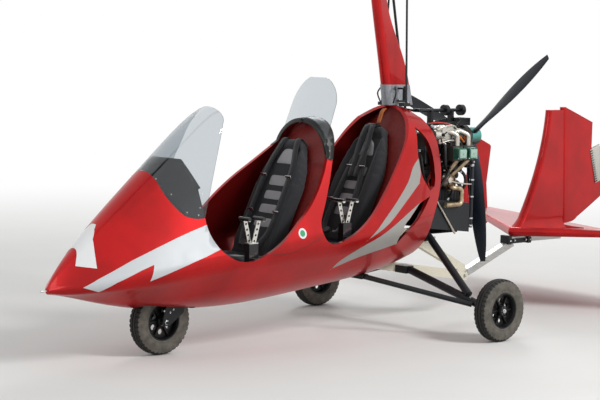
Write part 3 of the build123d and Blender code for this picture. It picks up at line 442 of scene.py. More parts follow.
# Bright screws along the windscreen's foot and the trim band
# Stainless pan-head screws through the acrylic into the composite.
stainless = surface("stainless_turned", "#C4C6C8", 3, 0, rough=(0.2, 0.32), Metallic=1.0, Roughness=0.25)
screws, screw_size, screen_half_thick, band_rise = bmesh.new(), 4, 1.5, 1.4
screen_finder = finder_of(nodes["windscreen_front"].data)
for x, y, z in ((0, -1822, 1092), (118, -1810, 1074), (183, -1747, 985), (240, -1671, 880),
                (261, -1601, 862), (251, -1585, 904), (234, -1556, 984)):
    for side in ((1, -1) if x else (1,)):
        place, normal = screen_finder.find_nearest(Vector((side * x, y, z)) * mm)[:2]
        outward = normal if normal.dot(Vector((side * x, 0, 400))) > 0 else -normal
        bolt(screws, place / mm + outward * screen_half_thick, outward, screw_size)
for y, z in ((-548, 1340), (-540, 1210)):
    for side in (1, -1):
        hit = hull_hit(side * 600, y, z, (-side, 0, 0))
        if hit:
            bolt(screws, hit[0] + hit[1] * band_rise, hit[1], screw_size)
fitting("screen_screws", screws, stainless)

# Windscreens
# Blown from 3 mm smoke-tinted acrylic sheet, so the faces are glossy and the cut edges look darker.
acrylic = finish_of("blown_acrylic", "#C9CFD3", Roughness=0.02, IOR=1.49, Transmission_Weight=1.0)[0]
dress(acrylic, "windscreen_front", "windscreen_rear")

# Instrument cowl and seat bases
# Wet-laid composite, left in black gelcoat that is slightly uneven in its gloss. The cowl is cut
# square aft for the panel, which leans back.


def welded(mesh):
    """The mesh with its doubled vertices joined, for work that changes it."""
    bm = bmesh.new()
    bm.from_mesh(mesh)
    bmesh.ops.remove_doubles(bm, verts=bm.verts, dist=weld_gap)
    return bm


black_gelcoat = surface("black_gelcoat_composite", "#1A1B1E", 12, 0, rough=(0.38, 0.48), Roughness=0.42,
                        IOR=1.5)
dress(black_gelcoat, "seat_bases")
panel_low, panel_high = (-1500, 905), (-1640, 1175)
panel_out = Vector((0, panel_high[1] - panel_low[1], panel_low[0] - panel_high[0])).normalized()
cowl = welded(nodes["instrument_cowl"].data)
bmesh.ops.scale(cowl, vec=(1 / mm, 1 / mm, 1 / mm), verts=cowl.verts)
cut = bmesh.ops.bisect_plane(cowl, geom=cowl.verts[:] + cowl.edges[:] + cowl.faces[:],
                             plane_co=(0, *panel_low), plane_no=panel_out, clear_outer=True)
rim = [e for e in cut["geom_cut"] if isinstance(e, bmesh.types.BMEdge)]
bmesh.ops.triangle_fill(cowl, use_beauty=True, edges=rim)
cowl = fitting("cowl_with_panel", cowl, black_gelcoat, angle=40)
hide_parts("instrument_cowl")

# Bulkheads behind the seats
# A wine-red laminate wall closes the shell behind each seat, bonded to the inside of the hull and hump. Its
# dark red is partly painted shade.
seat_rows = {"front_seat": ((-985, 545), (-635, 1280)), "rear_seat": ((-300, 585), (80, 1350))}
# Both shades of the wall are darkened partly as painted shade behind the seats.
wine_gelcoat_and_shade = surface("wine_red_gelcoat_with_painted_shade", "#64100F", 14, 0.15, rough=(0.42, 0.6),
                       shades=("#641411", "#7C1C17"), Roughness=0.5, IOR=1.4)
behind_seat, edge_sweep, hull_half, first_half, row_growth = 88, 45, 420, 200, 25
wall_rows, half_columns, bond, crown_limit = 38, 12, 2, 30
# From z, to z, and from which height the wall's edge runs to the rolled lip at lip_y
for node, low, high, lip_low, lip_y in (("front_seat", 640, 1402, 1110, -534),
                                        ("rear_seat", 660, 1462, 1500, 0)):
    foot, head = seat_rows[node]
    wall, rows, half = bmesh.new(), [], first_half
    for i in range(wall_rows + 1):
        z = low + (high - low) * i / wall_rows
        y = foot[0] + (z - foot[1]) * (head[0] - foot[0]) / (head[1] - foot[1]) + behind_seat
        edge_y = lip_y if z > lip_low else y + edge_sweep
        hits = [hull_hit(0, edge_y, z, (side, 0, 0)) for side in (1, -1)]
        reach = [abs(hit[0].x) + bond if hit and abs(hit[0].x) < hull_half else half for hit in hits]
        half = min(*reach, half + row_growth)
        rows.append([wall.verts.new((half * k / half_columns, y + (edge_y - y) * (k / half_columns) ** 2, z))
                     for k in range(-half_columns, half_columns + 1)])
    # A last row up to the hull's ceiling
    crown = []
    for k, vert in enumerate(rows[-1]):
        roof = hull_hit(*vert.co, (0, 0, 1)) if 0 < k < 2 * half_columns else None
        rise = min(roof[0].z - vert.co.z + 1, crown_limit) if roof else 0.5
        crown.append(wall.verts.new(vert.co + Vector((0, 0, rise))))
    rows.append(crown)
    for low_row, high_row in zip(rows, rows[1:]):
        for k in range(2 * half_columns):
            wall.faces.new((low_row[k], low_row[k + 1], high_row[k + 1], high_row[k]))
    bulkhead = fitting(f"{node}_bulkhead", wall, wine_gelcoat_and_shade, angle=60)
    bulkhead.modifiers.new("laminate", "SOLIDIFY").thickness = 3 * mm

# Seats
# Each seat is foam over its pan, covered in black woven cloth with raised bolsters and a round
# headrest, and light grey cloth panels sewn down the middle. Belts of black webbing hang over it.


def woven(name, code, other, thread):
    """Plain woven cloth: crossed threads, their spacing in millimetres, with a little sheen."""
    material, tree, shader = finish_of(name, code, Roughness=0.9, Sheen_Weight=0.2, Sheen_Roughness=0.5)
    place = add_node(tree, "ShaderNodeTexCoord")
    waves, wave_turns = [], 6.3
    for direction in ("X", "Z"):
        waves.append(add_node(tree, "ShaderNodeTexWave", {"wave_type": "BANDS", "bands_direction": direction,
                                                          "Scale": 1000 / thread / wave_turns,
                                                          "Distortion": 0.6},
                              {"Vector": place.outputs["Object"]}))
    cross = reckon(tree, "MULTIPLY", waves[0].outputs["Fac"], waves[1].outputs["Fac"])
    blotch = add_node(tree, "ShaderNodeTexNoise", {"Scale": 40.0}, {"Vector": place.outputs["Object"]})
    blend = reckon(tree, "MULTIPLY_ADD", cross, blotch.outputs["Fac"], 0.1)
    tree.links.new(mixed(tree, blend, code, other), shader.inputs["Base Color"])
    bump = add_node(tree, "ShaderNodeBump", {"Strength": 0.6, "Distance": 0.0006}, {"Height": cross})
    tree.links.new(bump.outputs["Normal"], shader.inputs["Normal"])
    return material


# The real thread is finer than 1 mm; 3 mm is the finest that shows in the picture.
black_cloth = woven("black_woven_cloth", "#141519", "#24262C", 3)
grey_cloth = woven("grey_woven_cloth", "#9A999E", "#C2C0C2", 3)
webbing = woven("black_webbing", "#0F1014", "#20222A", 2)
orange_webbing = woven("orange_webbing", "#A8561C", "#C97A30", 2)


def sealed_copy(node, name, material):
    """A welded copy of a CAD solid as a scene piece."""
    made = nodes[node].data.copy()
    made.name = name
    bm = welded(made)
    bm.to_mesh(made)
    bm.free()
    made.materials.clear()
    made.materials.append(material)
    return placed(name, made)


def settle(piece):
    """Applies every modifier of a piece."""
    graph = bpy.context.evaluated_depsgraph_get()
    made = bpy.data.meshes.new_from_object(piece.evaluated_get(graph))
    piece.modifiers.clear()
    piece.data = made


def thicken(piece, thickness, offset=0):
    """Gives a sheet its thickness in metres, on both faces or, with offset -1, behind it."""
    sheet = piece.modifiers.new("sheet", "SOLIDIFY")
    sheet.thickness, sheet.offset = thickness, offset
    settle(piece)


def smoothstep(low, high, value):
    """0 below low, 1 above high, and a smooth rise between."""
    t = max(0.0, min(1.0, (value - low) / (high - low)))
    return t * t * (3 - 2 * t)


def quilted_pad(bm, place, tall, wide_low, wide_high, thick=16, arch=0.0):
    """A crowned cloth panel between two seams. Place turns across, along and out into a point."""
    rows, columns, grid = 10, 16, []
    for i in range(rows + 1):
        v, line = i / rows, []
        wide = wide_low + (wide_high - wide_low) * v
        for j in range(columns + 1):
            u = j / columns * 2 - 1
            rise = arch * (1 - u * u) * v
            crown = (1 - u ** 8) * (1 - (2 * v - 1) ** 6)
            pull = 1 - 0.03 * (2 * v - 1) ** 2
            line.append(bm.verts.new(place(u * wide / 2 * pull, tall * v + rise, thick * crown)))
        grid.append(line)
    for low, high in zip(grid, grid[1:]):
        for j in range(columns):
            bm.faces.new((low[j], low[j + 1], high[j + 1], high[j]))


def belt(bm, points, wide=46):
    """Flat webbing through points in millimetres, its width lying across the seat."""
    line = curve_points(points, 5)
    rows = []
    for i, spot in enumerate(line):
        way = (line[min(i + 1, len(line) - 1)] - line[max(i - 1, 0)]).normalized()
        across = Vector((1, 0, 0)) - way * way.x
        rows.append((bm.verts.new(spot - across.normalized() * wide / 2),
                     bm.verts.new(spot + across.normalized() * wide / 2)))
    for (a, b), (c, d) in zip(rows, rows[1:]):
        bm.faces.new((a, b, d, c))


headrest_start, headrest_past, headrest_round = 560, 6, 0.78
face_start, face_full, face_deep, top_start, top_full = 30, 110, 12, 90, 40
bolster_low, bolster_high, bolster_half_rise, cushion_high, cushion_half_rise = 96, 125, 12, 130, 8
cushion_side, puff_frames, puff_limit = 25, 15, 12 * mm
# Panels of the back: how far up, and how tall
back_panels = ((192, 86), (285, 86), (378, 86), (471, 100))
# Belts: up the back, off it, and to the side, for each belt of a seat
belt_routes = {
    "front_seat": (((790, -56, 60), (812, 0, 62), (790, 20, 66), (720, 24, 84), (620, 24, 112),
                    (420, 24, 124), (200, 26, 122), (90, 38, 84), (62, 60, 40)),),
    "rear_seat": (((860, -30, 10), (850, 34, 14), (780, 40, 20), (640, 34, 34), (540, 30, 62), (400, 26, 84),
                   (200, 28, 96), (90, 40, 74), (62, 62, 40)),
                  ((852, -20, 22), (830, 44, 26), (700, 40, 40), (600, 36, 30), (470, 30, 26)))}
upper_adjuster = {"front_seat": 118, "rear_seat": 60}
for node, (foot, head) in seat_rows.items():
    foot_v, head_v = Vector((0, *foot)), Vector((0, *head))
    seat_tall = (head_v - foot_v).length
    up = (head_v - foot_v).normalized()
    ahead = Vector((0, -up.z, up.y))

    def on_back(across, along, out):
        """A point over the backrest, from its foot line, in millimetres."""
        return foot_v + up * along + ahead * out + Vector((across, 0, 0))

    seat = sealed_copy(node, f"{node}_cushion", black_cloth)
    remesh = seat.modifiers.new("voxels", "REMESH")
    remesh.mode = "VOXEL"
    remesh.voxel_size = 9 * mm
    settle(seat)
    for vertex in seat.data.vertices:
        p = vertex.co / mm
        from_foot = p - foot_v
        height, depth = from_foot.dot(up), from_foot.dot(ahead)
        if height > headrest_start:
            # Round shoulders and headrest
            t = min(1.0, (height - headrest_start) / (seat_tall + headrest_past - headrest_start))
            p.x *= math.sqrt(1 - headrest_round * t ** 1.6)
        if height > face_start and abs(depth) < face_deep:
            # Raised bolsters round a shallow middle
            raised = max(smoothstep(bolster_low, bolster_high, abs(p.x)),
                         smoothstep(seat_tall - top_start, seat_tall - top_full, height))
            lift = -bolster_half_rise + 2 * bolster_half_rise * raised
            p += ahead * lift * smoothstep(face_start, face_full, height)
        elif depth > face_deep and p.z > foot[1] - cushion_side:
            raised = smoothstep(bolster_low, cushion_high, abs(p.x))
            p.z += -cushion_half_rise + 2 * cushion_half_rise * raised
        vertex.co = p * mm
    rest = [v.co.copy() for v in seat.data.vertices]
    cloth = seat.modifiers.new("cloth", "CLOTH")
    cloth.settings.use_pressure = True
    cloth.settings.uniform_pressure_force = 4
    cloth.settings.effector_weights.gravity = 0
    cloth.settings.quality = 4
    for step in range(1, puff_frames + 1):
        bpy.context.scene.frame_set(step)
    settle(seat)
    bpy.context.scene.frame_set(1)
    for vertex, was in zip(seat.data.vertices, rest):
        moved = vertex.co - was
        if moved.length > puff_limit:
            vertex.co = was + moved.normalized() * puff_limit
    ease = seat.modifiers.new("ease", "SMOOTH")
    ease.factor, ease.iterations = 0.5, 4
    seat.modifiers.new("fine", "SUBSURF").levels = 1
    settle(seat)
    seat.data.shade_smooth()
    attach(seat, "airframe")
    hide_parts(node)

    panels = bmesh.new()
    for along, tall in back_panels:
        quilted_pad(panels, lambda x, s, d: on_back(x, along + s, d - 14), tall, 200, 202)
    quilted_pad(panels, lambda x, s, d: on_back(x, 628 + s, d - 9), 84, 190, 124, 16, 52)
    for k in range(3):
        quilted_pad(panels, lambda x, s, d: Vector((x, foot[0] - 40 - 100 * k - s, foot[1] - 4 + d)),
                    96, 190, 190)
    trim = fitting(f"{node}_panels", panels, grey_cloth, angle=60)
    thicken(trim, 10 * mm, -1)

    # The front belts come over the shoulders; the rear ones hang together from the bulkhead's top
    straps, buckle, latch = bmesh.new(), bmesh.new(), bmesh.new()
    for route in belt_routes[node]:
        for side in (1, -1):
            belt(straps, [on_back(side * x, s, d) for s, d, x in route])
    thicken(fitting(f"{node}_harness", straps, webbing, angle=60), 2.5 * mm)
    revolve(latch, on_back(0, 62, 66), ahead + up * 0.4, ((0, 0), (0, 28), (14, 28), (18, 24), (18, 0)), 28)
    for s, d, x in ((300, 31, 122), (540, 31, upper_adjuster[node])):
        for side in (1, -1):
            block(buckle, on_back(side * x, s, d), (52, 22, 7), 3, (-64, 0, 0))
    fitting(f"{node}_adjusters", buckle, stainless)
    fitting(f"{node}_latch", latch, black_trim)

hanger = bmesh.new()
belt(hanger, ((0, 165, 1462), (0, 138, 1440), (0, 122, 1400), (0, 108, 1366)), 34)
thicken(fitting("belt_hanger", hanger, orange_webbing, angle=60), 3 * mm)

# Keel and its brace
# Square steel tube and plate, welded and powder coated cream. A cross bolt ties keel, brace and boom.


def side_bolts(bm, size, *places):
    """Bolt heads that face outward at places on the port side, and at the same ones on the other."""
    for x, y, z in places:
        for side in (1, -1):
            bolt(bm, (side * x, y, z), (side, 0, 0), size)


cream_powder = surface("cream_powder_coat", "#D8D2BE", 8, 0.04, rough=(0.36, 0.5),
                       shades=("#CFC8B2", "#DCD7C6"), Roughness=0.42, IOR=1.5)
dress(cream_powder, "keel_frame")
knuckle_y, knuckle_z, plate_half = 968, 279, 32
joint_bolts = bmesh.new()
side_bolts(joint_bolts, 9, (plate_half, knuckle_y, knuckle_z))
side_bolts(joint_bolts, 5, (plate_half, knuckle_y + 8, knuckle_z + 34))
fitting("keel_bolts", joint_bolts, stainless)

# Black powder-coated steel
# Gear legs, struts, fork, clamps and rods are bent or welded, then blasted and powder coated.
black_powder = surface("black_powder_coat", "#0E1014", 6, 0.05, rough=(0.34, 0.5),
                       shades=("#0B0D10", "#15181D"), Roughness=0.4, IOR=1.4)
dress(black_powder, "boom_clamp", "mast_frame", "control_rods", "gear_legs", "gear_struts", "nose_fork",
      "nose_head", "control_sticks", "prerotator_drive")
gear_bolts = bmesh.new()
for side in (1, -1):
    for y, z, x in ((500, 592, 150), (345, 262, 640), (368, 236, 700)):
        bolt(gear_bolts, (side * (x + 20), y, z), (side, -0.3, 0), 8)
side_bolts(gear_bolts, 7, *((40, y, 497) for y in (1425, 1470, 1590, 1635)))
fitting("gear_bolts", gear_bolts, stainless)

# Tail boom, rotor head and pitot tube
# Extruded or milled aluminium, left bare, with the faint draw lines of the mill.
bare_metal = surface("extruded_aluminium", "#B5B5B2", 4, 0.02, rough=(0.34, 0.5),
                     shades=("#A9AAAA", "#C2C1BC"), stretch=(1, 0.08, 1), Metallic=1.0, Roughness=0.4)
dress(bare_metal, "tail_boom", "mast_head", "gimbal_block", "torque_bar", "rotor_tower", "hub_bar",
      "pitot_tube")
head_bolts = {body: bmesh.new() for body in ("airframe", "rotor_mount", "rotor_spindle", "rotor")}
side_bolts(head_bolts["airframe"], 9, (50, -20, 2556))
side_bolts(head_bolts["rotor_spindle"], 9, (33, 0, 2735))
for side in (1, -1):
    bolt(head_bolts["rotor_mount"], (0, side * 34 - 20, 2590), (0, side, 0), 7)
    for y in (230, 300, 380, 460, 540, 600):
        bolt(head_bolts["rotor"], (0, side * y, 2749), (0, 0, 1), 6)
for body, bm in head_bolts.items():
    fitting(f"{body}_head_bolts", bm, stainless, body)

# Mast sleeve
# A grey enamelled steel socket clamps the mast's foot with through bolts and black rod guides.
sleeve_enamel = surface("grey_enamelled_steel", "#8D9096", 10, 0.02, rough=(0.36, 0.5),
                        shades=("#84878D", "#9A9DA2"), Metallic=0.5, Roughness=0.42)
dress(sleeve_enamel, "mast_sleeve")
clamps, clamp_bolts = bmesh.new(), bmesh.new()
side_bolts(clamp_bolts, 8, (46, 205, 1596), (46, 245, 1520), (46, 330, 1500))
for side in (1, -1):
    block(clamps, (side * 74, 246, 1596), (56, 34, 12), 3)
    block(clamps, (side * 92, 250, 1560), (14, 22, 84), 4)
    block(clamps, (side * 74, 246, 1512), (56, 34, 10), 3)
    revolve(clamps, (side * 104, 247, 1586), (0, 0, 1), ((0, 0), (0, 12), (26, 12), (26, 0)), 18)
    pipe(clamps, ((side * 60, 180, 1500), (side * 86, 176, 1560), (side * 64, 190, 1608)), 5)
fitting("rod_guides", clamps, black_powder)
fitting("sleeve_bolts", clamp_bolts, stainless)

# Lever quadrants
# Each quadrant has two drilled bright plates in a V, on a black bracket, with black moulded grips.
lever_metal, tree, shader = finish_of("drilled_bright_plate", "#C9C8C2", Metallic=0.9, Roughness=0.34)
grain(tree, shader, 4, 0.02, rough=(0.28, 0.42))
spot = add_node(tree, "ShaderNodeNewGeometry")
within = add_node(tree, "ShaderNodeSeparateXYZ", (), {0: spot.outputs["Position"]})
rear_start_y, rear_lift, bracket_top, grip_foot = -0.8, 0.085, 0.672, 0.812
is_rear = reckon(tree, "GREATER_THAN", within.outputs["Y"], rear_start_y)
height = reckon(tree, "MULTIPLY_ADD", is_rear, -rear_lift, within.outputs["Z"])
plate = reckon(tree, "MULTIPLY", reckon(tree, "GREATER_THAN", height, bracket_top),
               reckon(tree, "LESS_THAN", height, grip_foot))
tree.links.new(mixed(tree, plate, "#1B1C1F", "#CFCEC8"), shader.inputs["Base Color"])
tree.links.new(reckon(tree, "MULTIPLY", plate, 0.9), shader.inputs["Metallic"])
dress(lever_metal, "lever_quadrants")

# Instrument panel
# Six round instruments with black rims and faces and white marks stand on the cowl's aft face.
moulded_rubber = surface("black_moulded_rubber", "#121214", 3, 0.1, rough=(0.55, 0.7), Roughness=0.6)
dial_face = surface("white_dial_print", "#E6E6E2", 30, 0, rough=(0.45, 0.55), Roughness=0.5)
bezels, faces, marks = bmesh.new(), bmesh.new(), bmesh.new()
panel_up = Vector((0, panel_high[0] - panel_low[0], panel_high[1] - panel_low[1])).normalized()
tilt = math.degrees(math.atan2(panel_low[0] - panel_high[0], panel_high[1] - panel_low[1]))
for x, rise, radius in ((-95, 195, 34), (0, 215, 38), (95, 195, 34), (-50, 120, 25), (50, 120, 25),
                        (0, 75, 19)):
    middle = Vector((x, *panel_low)) + panel_up * rise
    revolve(bezels, middle, panel_out,
            ((0, radius + 5), (7, radius + 4), (8, radius), (4, radius - 1), (2, radius - 1)), 36)
    revolve(faces, middle, panel_out, ((2, 0), (2, radius)), 36)
    for degrees in range(-140, 141, 28):
        turn = math.radians(degrees)
        block(marks, middle + panel_out * 3 + Vector((math.sin(turn), 0, 0)) * radius * 0.8
              + panel_up * math.cos(turn) * radius * 0.8, (1.6, 1, radius * 0.2), 0, (tilt, degrees, 0))
    block(marks, middle + panel_out * 4 + panel_up * radius * 0.3, (1.8, 1, radius * 0.7), 0, (tilt, 0, 0))
fitting("dial_bezels", bezels, black_powder)
fitting("dial_faces", faces, moulded_rubber)
fitting("dial_marks", marks, dial_face)

# Rotor and propeller blades
# Carbon and glass composite, moulded in halves, navy black with a satin lacquer.
blade_skin = surface("satin_carbon_composite", "#0F1620", 30, 0, rough=(0.42, 0.46),
                     shades=("#0D141D", "#121C2A"), Roughness=0.44, IOR=1.4)
dress(blade_skin, "rotor_blades", "prop_blades")
teal_anodised = surface("teal_anodised_aluminium", "#5E9C94", 3, 0.01, rough=(0.28, 0.4), Metallic=1.0,
                        Roughness=0.34)
dress(teal_anodised, "prop_hub")
hub_bolts, hub_face_y, hub_z, bolt_circle = bmesh.new(), 1055, 1261, 42
for k in range(6):
    turn = math.radians(60 * k + 30)
    bolt(hub_bolts, (bolt_circle * math.sin(turn), hub_face_y, hub_z + bolt_circle * math.cos(turn)),
         (0, 1, 0), 6)
fitting("prop_bolts", hub_bolts, stainless, "propeller")

# Engine castings, exhaust and radiator box
# Sand-cast aluminium case, heads and gearbox are darkened by heat and oil. The intake is blasted
# bright, the rocker covers are green, the exhaust is heat-tinted and the radiator's box coated black.
cast_alloy = surface("sand_cast_aluminium", "#4B4843", 5, 0.25, rough=(0.48, 0.7),
                     shades=("#383531", "#5C5852"), Metallic=0.8, Roughness=0.58)
dress(cast_alloy, "engine_block", "gearbox", "cylinder_banks")
bright_alloy = surface("bead_blasted_aluminium", "#C9C6BE", 4, 0.08, rough=(0.3, 0.5),
                       shades=("#B0ACA2", "#D2D0C9"), Metallic=1.0, Roughness=0.38)
dress(bright_alloy, "intake_system")
green_paint = surface("green_enamel_on_cast_alloy", "#285C4E", 5, 0.12, rough=(0.3, 0.46),
                      shades=("#1F4E42", "#2F6A5A"), Metallic=0.3, Roughness=0.36, Coat_Weight=0.3)
dress(green_paint, "rocker_covers")
pale_green = surface("pale_green_enamel", "#93B5A5", 5, 0.08, rough=(0.3, 0.42),
                     shades=("#88AB9B", "#A4C2B2"), Metallic=0.2, Roughness=0.34, Coat_Weight=0.3)
black_alloy = surface("black_oiled_casting", "#101113", 4, 0.15, rough=(0.38, 0.55),
                      shades=("#0B0C0D", "#1B1C1E"), Metallic=0.4, Roughness=0.45)
heated_steel = surface("heat_tinted_steel", "#9C8468", 60, 0.02, rough=(0.32, 0.5),
                       shades=("#6E5844", "#B9A88C"), Metallic=1.0, Roughness=0.4)
dress(heated_steel, "exhaust_system")
copper_pipe = surface("tinned_copper_pipe", "#B5622F", 12, 0.01, rough=(0.3, 0.44), Metallic=1.0,
                      Roughness=0.36)
red_hose_rubber = surface("red_silicone_hose", "#C02A18", 6, 0.05, rough=(0.42, 0.58), Roughness=0.5)
radiator_black = surface("black_coated_sheet", "#0E1116", 12, 0.1, rough=(0.38, 0.55),
                         shades=("#0B0E12", "#171C22"), Metallic=0.2, Roughness=0.45)
dress(radiator_black, "radiator_box")

# Rocker cover domes
# Each cover has a pressed round-cornered crown with a bolt at its middle.
domes, dome_bolts = bmesh.new(), bmesh.new()
crown_x, crown_y, crown_z, port_stagger = 283, (630, 735), 1163, 30
for side, shift in ((1, 0), (-1, -port_stagger)):
    for y in crown_y:
        block(domes, (side * (crown_x + 1), y + shift, crown_z), (20, 66, 60), 8)
        bolt(dome_bolts, (side * (crown_x + 10), y + shift, crown_z), (side, 0, 0), 7)
        for dy in (-38, 38):
            bolt(dome_bolts, (side * (crown_x - 1), y + shift + dy, crown_z - 32), (side, 0, 0), 4)
fitting("rocker_domes", domes, pale_green)
fitting("rocker_bolts", dome_bolts, stainless)

# Carburettors
# A pair of constant-depression carburettors a side of the inlet box: turned bodies, domed tops,
# float bowls, throttle arms with springs, and fuel unions.
carbs, carb_black, carb_x, carb_z = bmesh.new(), bmesh.new(), 150, 1284
for side in (1, -1):
    for y in (540, 640):
        x = side * carb_x
        revolve(carbs, (x, y - 34, carb_z), (0, 1, 0),
                ((0, 0), (0, 24), (8, 27), (16, 22), (44, 22), (50, 28), (60, 28), (60, 0)))
        revolve(carbs, (x, y, 1290), (0, 0, 1),
                ((0, 24), (26, 26), (30, 32), (36, 32), (40, 27), (52, 22), (58, 10), (58, 0)))
        revolve(carbs, (x, y, 1262), (0, 0, -1), ((0, 20), (10, 24), (34, 23), (40, 16), (40, 0)))
        block(carbs, (x + side * 26, y + 6, carb_z), (14, 40, 26), 3)
        revolve(carb_black, (x + side * 30, y, carb_z), (side, 0, 0), ((0, 0), (0, 16), (5, 16), (5, 0)))
        block(carb_black, (x + side * 36, y + 16, 1296), (5, 44, 9), 2, (25, 0, 0))
        bolt(carbs, (x, y, 1348), (0, 0, 1), 6)
        for k in range(9):
            revolve(carbs, (x + side * 40, y - 24 + 5 * k, 1270), (0, 1, 0),
                    ((0, 6), (1.2, 7.5), (2.4, 6)), 10)
    pipe(carbs, ((side * 168, 500, 1320), (side * 186, 560, 1344), (side * 182, 640, 1348),
                 (side * 170, 690, 1322)), 5)
    pipe(carbs, ((side * 196, 520, 1236), (side * 204, 600, 1250), (side * 200, 690, 1236)), 4.5)
fitting("carburettors", carbs, bright_alloy)
fitting("throttle_arms", carb_black, black_alloy)
link_pipes = bmesh.new()
for side in (1, -1):
    pipe(link_pipes, ((side * 196, 660, 1284), (side * 206, 690, 1262), (side * 212, 712, 1236)), 9)
    pipe(link_pipes, ((side * 150, 700, 1320), (side * 186, 726, 1296), (side * 196, 742, 1250)), 6)
fitting("copper_links", link_pipes, copper_pipe)

# Engine auxiliaries
# Starter, oil tank, coil box, regulators and pumps bolted round the case, with their black hoses,
# leads and steel clips. The leads go from the ignition box to the plugs of each bank.
aux, clips, leads, red_hose = bmesh.new(), bmesh.new(), bmesh.new(), bmesh.new()
revolve(aux, (66, 640, 1000), (0, 1, 0),
        ((0, 0), (0, 30), (6, 38), (96, 38), (100, 42), (112, 42), (116, 28), (160, 26), (164, 0)))
revolve(aux, (-66, 640, 1000), (0, 1, 0), ((0, 0), (0, 40), (10, 46), (120, 46), (132, 36), (134, 0)))
revolve(aux, (0, 520, 1130), (0, 1, 0), ((0, 0), (0, 44), (12, 60), (28, 62), (36, 70), (42, 70)))
revolve(aux, (110, 520, 1080), (0, 0, 1),
        ((0, 0), (0, 44), (8, 50), (126, 50), (134, 44), (138, 20), (150, 18), (150, 0)))
block(aux, (0, 690, 1012), (150, 230, 66), 12)
for k in range(9):
    block(aux, (0, 590 + 25 * k, 975), (140, 6, 22), 2)
block(aux, (120, 730, 1060), (60, 90, 70), 8)
block(aux, (-120, 700, 1060), (60, 110, 70), 8)
for k in range(8):
    block(aux, (106, 850, 1160 + 11 * k), (36, 70, 4), 1)
block(aux, (98, 850, 1198), (20, 74, 92), 4)
block(aux, (90, 560, 940), (70, 110, 90), 10)
block(aux, (0, 700, 868), (250, 236, 108), 14)
for k in range(7):
    block(aux, (126, 610 + 30 * k, 868), (6, 8, 92), 2)
revolve(aux, (0, 818, 868), (0, 1, 0), ((0, 90), (26, 96), (34, 96), (34, 88), (8, 84)), 40)
block(aux, (160, 660, 1070), (46, 66, 44), 8)
for y, z in ((560, 1085), (600, 1060), (640, 1090), (700, 1080), (760, 1090), (800, 1070)):
    revolve(aux, (150, y, z), (1, 0.2, 0), ((0, 0), (0, 15), (24, 15), (26, 9), (44, 9), (44, 0)), 18)
fitting("engine_auxiliaries", aux, black_alloy)
# Hoses: the points of each, then its radius
hose_rows = (((60, 500, 1330), (110, 470, 1260), (128, 480, 1170), (112, 520, 1090), (84, 590, 1010)),
             ((175, 560, 1240), (206, 540, 1180), (190, 560, 1100), (140, 620, 1040), (80, 660, 990)),
             ((90, 800, 1250), (150, 820, 1200), (170, 840, 1120), (165, 857, 1060)),
             ((150, 640, 1076), (180, 600, 1020), (160, 560, 950), (120, 540, 880), (90, 560, 830)),
             ((-150, 640, 1076), (-180, 600, 1020), (-160, 560, 950), (-120, 540, 880), (-90, 560, 830)),
             ((120, 760, 1050), (160, 790, 1000), (150, 800, 930), (100, 780, 860), (60, 740, 830)),
             ((-60, 500, 1330), (-110, 470, 1260), (-128, 480, 1170), (-112, 520, 1090), (-84, 590, 1010)),
             ((60, 700, 990), (110, 720, 930), (130, 700, 880), (120, 660, 830)),
             ((30, 470, 1180), (80, 440, 1120), (90, 450, 1030), (60, 500, 960), (40, 560, 900)))
hoses = bmesh.new()
for row, thick in zip(hose_rows, (11, 12, 13, 12, 12, 11, 11, 10, 11)):
    pipe(hoses, row, thick)
    for at, to in ((0, 1), (-1, -2)):
        way = Vector(row[to]) - Vector(row[at])
        for step in (0.16, 0.3):
            revolve(clips, Vector(row[at]) + way * step, way,
                    ((-4, thick), (-4, thick + 2.5), (4, thick + 2.5), (4, thick)), 18)
for side in (1, -1):
    for k, y in enumerate((600, 650, 700, 750)):
        pipe(leads, ((side * 14 + 30 * (side > 0), 850 - 8 * k, 1392 - 6 * k),
                     (side * 90, 800 - 20 * k, 1372 - 10 * k), (side * (170 + 6 * k), y + 40, 1300),
                     (side * 200, y, 1214)), 4, 8)
        revolve(leads, (side * 200, y, 1208), (0, 0, 1), ((0, 0), (0, 10), (26, 9), (30, 5), (30, 0)), 14)
pipe(leads, ((40, 300, 1440), (60, 380, 1400), (70, 470, 1360), (60, 560, 1350), (40, 700, 1352),
             (36, 840, 1366)), 7)
pipe(leads, ((56, 300, 1430), (90, 400, 1330), (100, 470, 1240), (96, 560, 1180)), 6)
pipe(leads, ((120, 470, 1300), (150, 500, 1250), (140, 560, 1220), (170, 640, 1230), (160, 760, 1240)), 5)
fitting("engine_hoses", hoses, moulded_rubber)
fitting("ignition_leads", leads, moulded_rubber)
pipe(red_hose, ((150, 470, 1220), (196, 452, 1190), (214, 440, 1120), (200, 430, 1050), (150, 440, 980),
                (100, 500, 930)), 8)
pipe(red_hose, ((40, 520, 1352), (80, 600, 1362), (110, 680, 1350), (120, 740, 1320)), 6)
fitting("oil_hoses", red_hose, red_hose_rubber)
for z in (1090, 966, 850, 700, 650):
    revolve(clips, (165, 857, z), (0, 0, 1), ((0, 13), (0, 16.5), (10, 16.5), (10, 13)), 20)
for y, z in ((470, 1290), (500, 1340), (600, 1330), (690, 1340), (760, 1300)):
    for side in (1, -1):
        block(clips, (side * 120, y, z), (26, 16, 14), 3, (20, side * 30, 0))
for y, z in ((545, 1150), (568, 1100), (598, 1046), (640, 1030), (700, 1022), (760, 1026)):
    bolt(clips, (150, y, z), (1, -0.4, 0.1), 7)
fitting("hose_clips", clips, stainless)

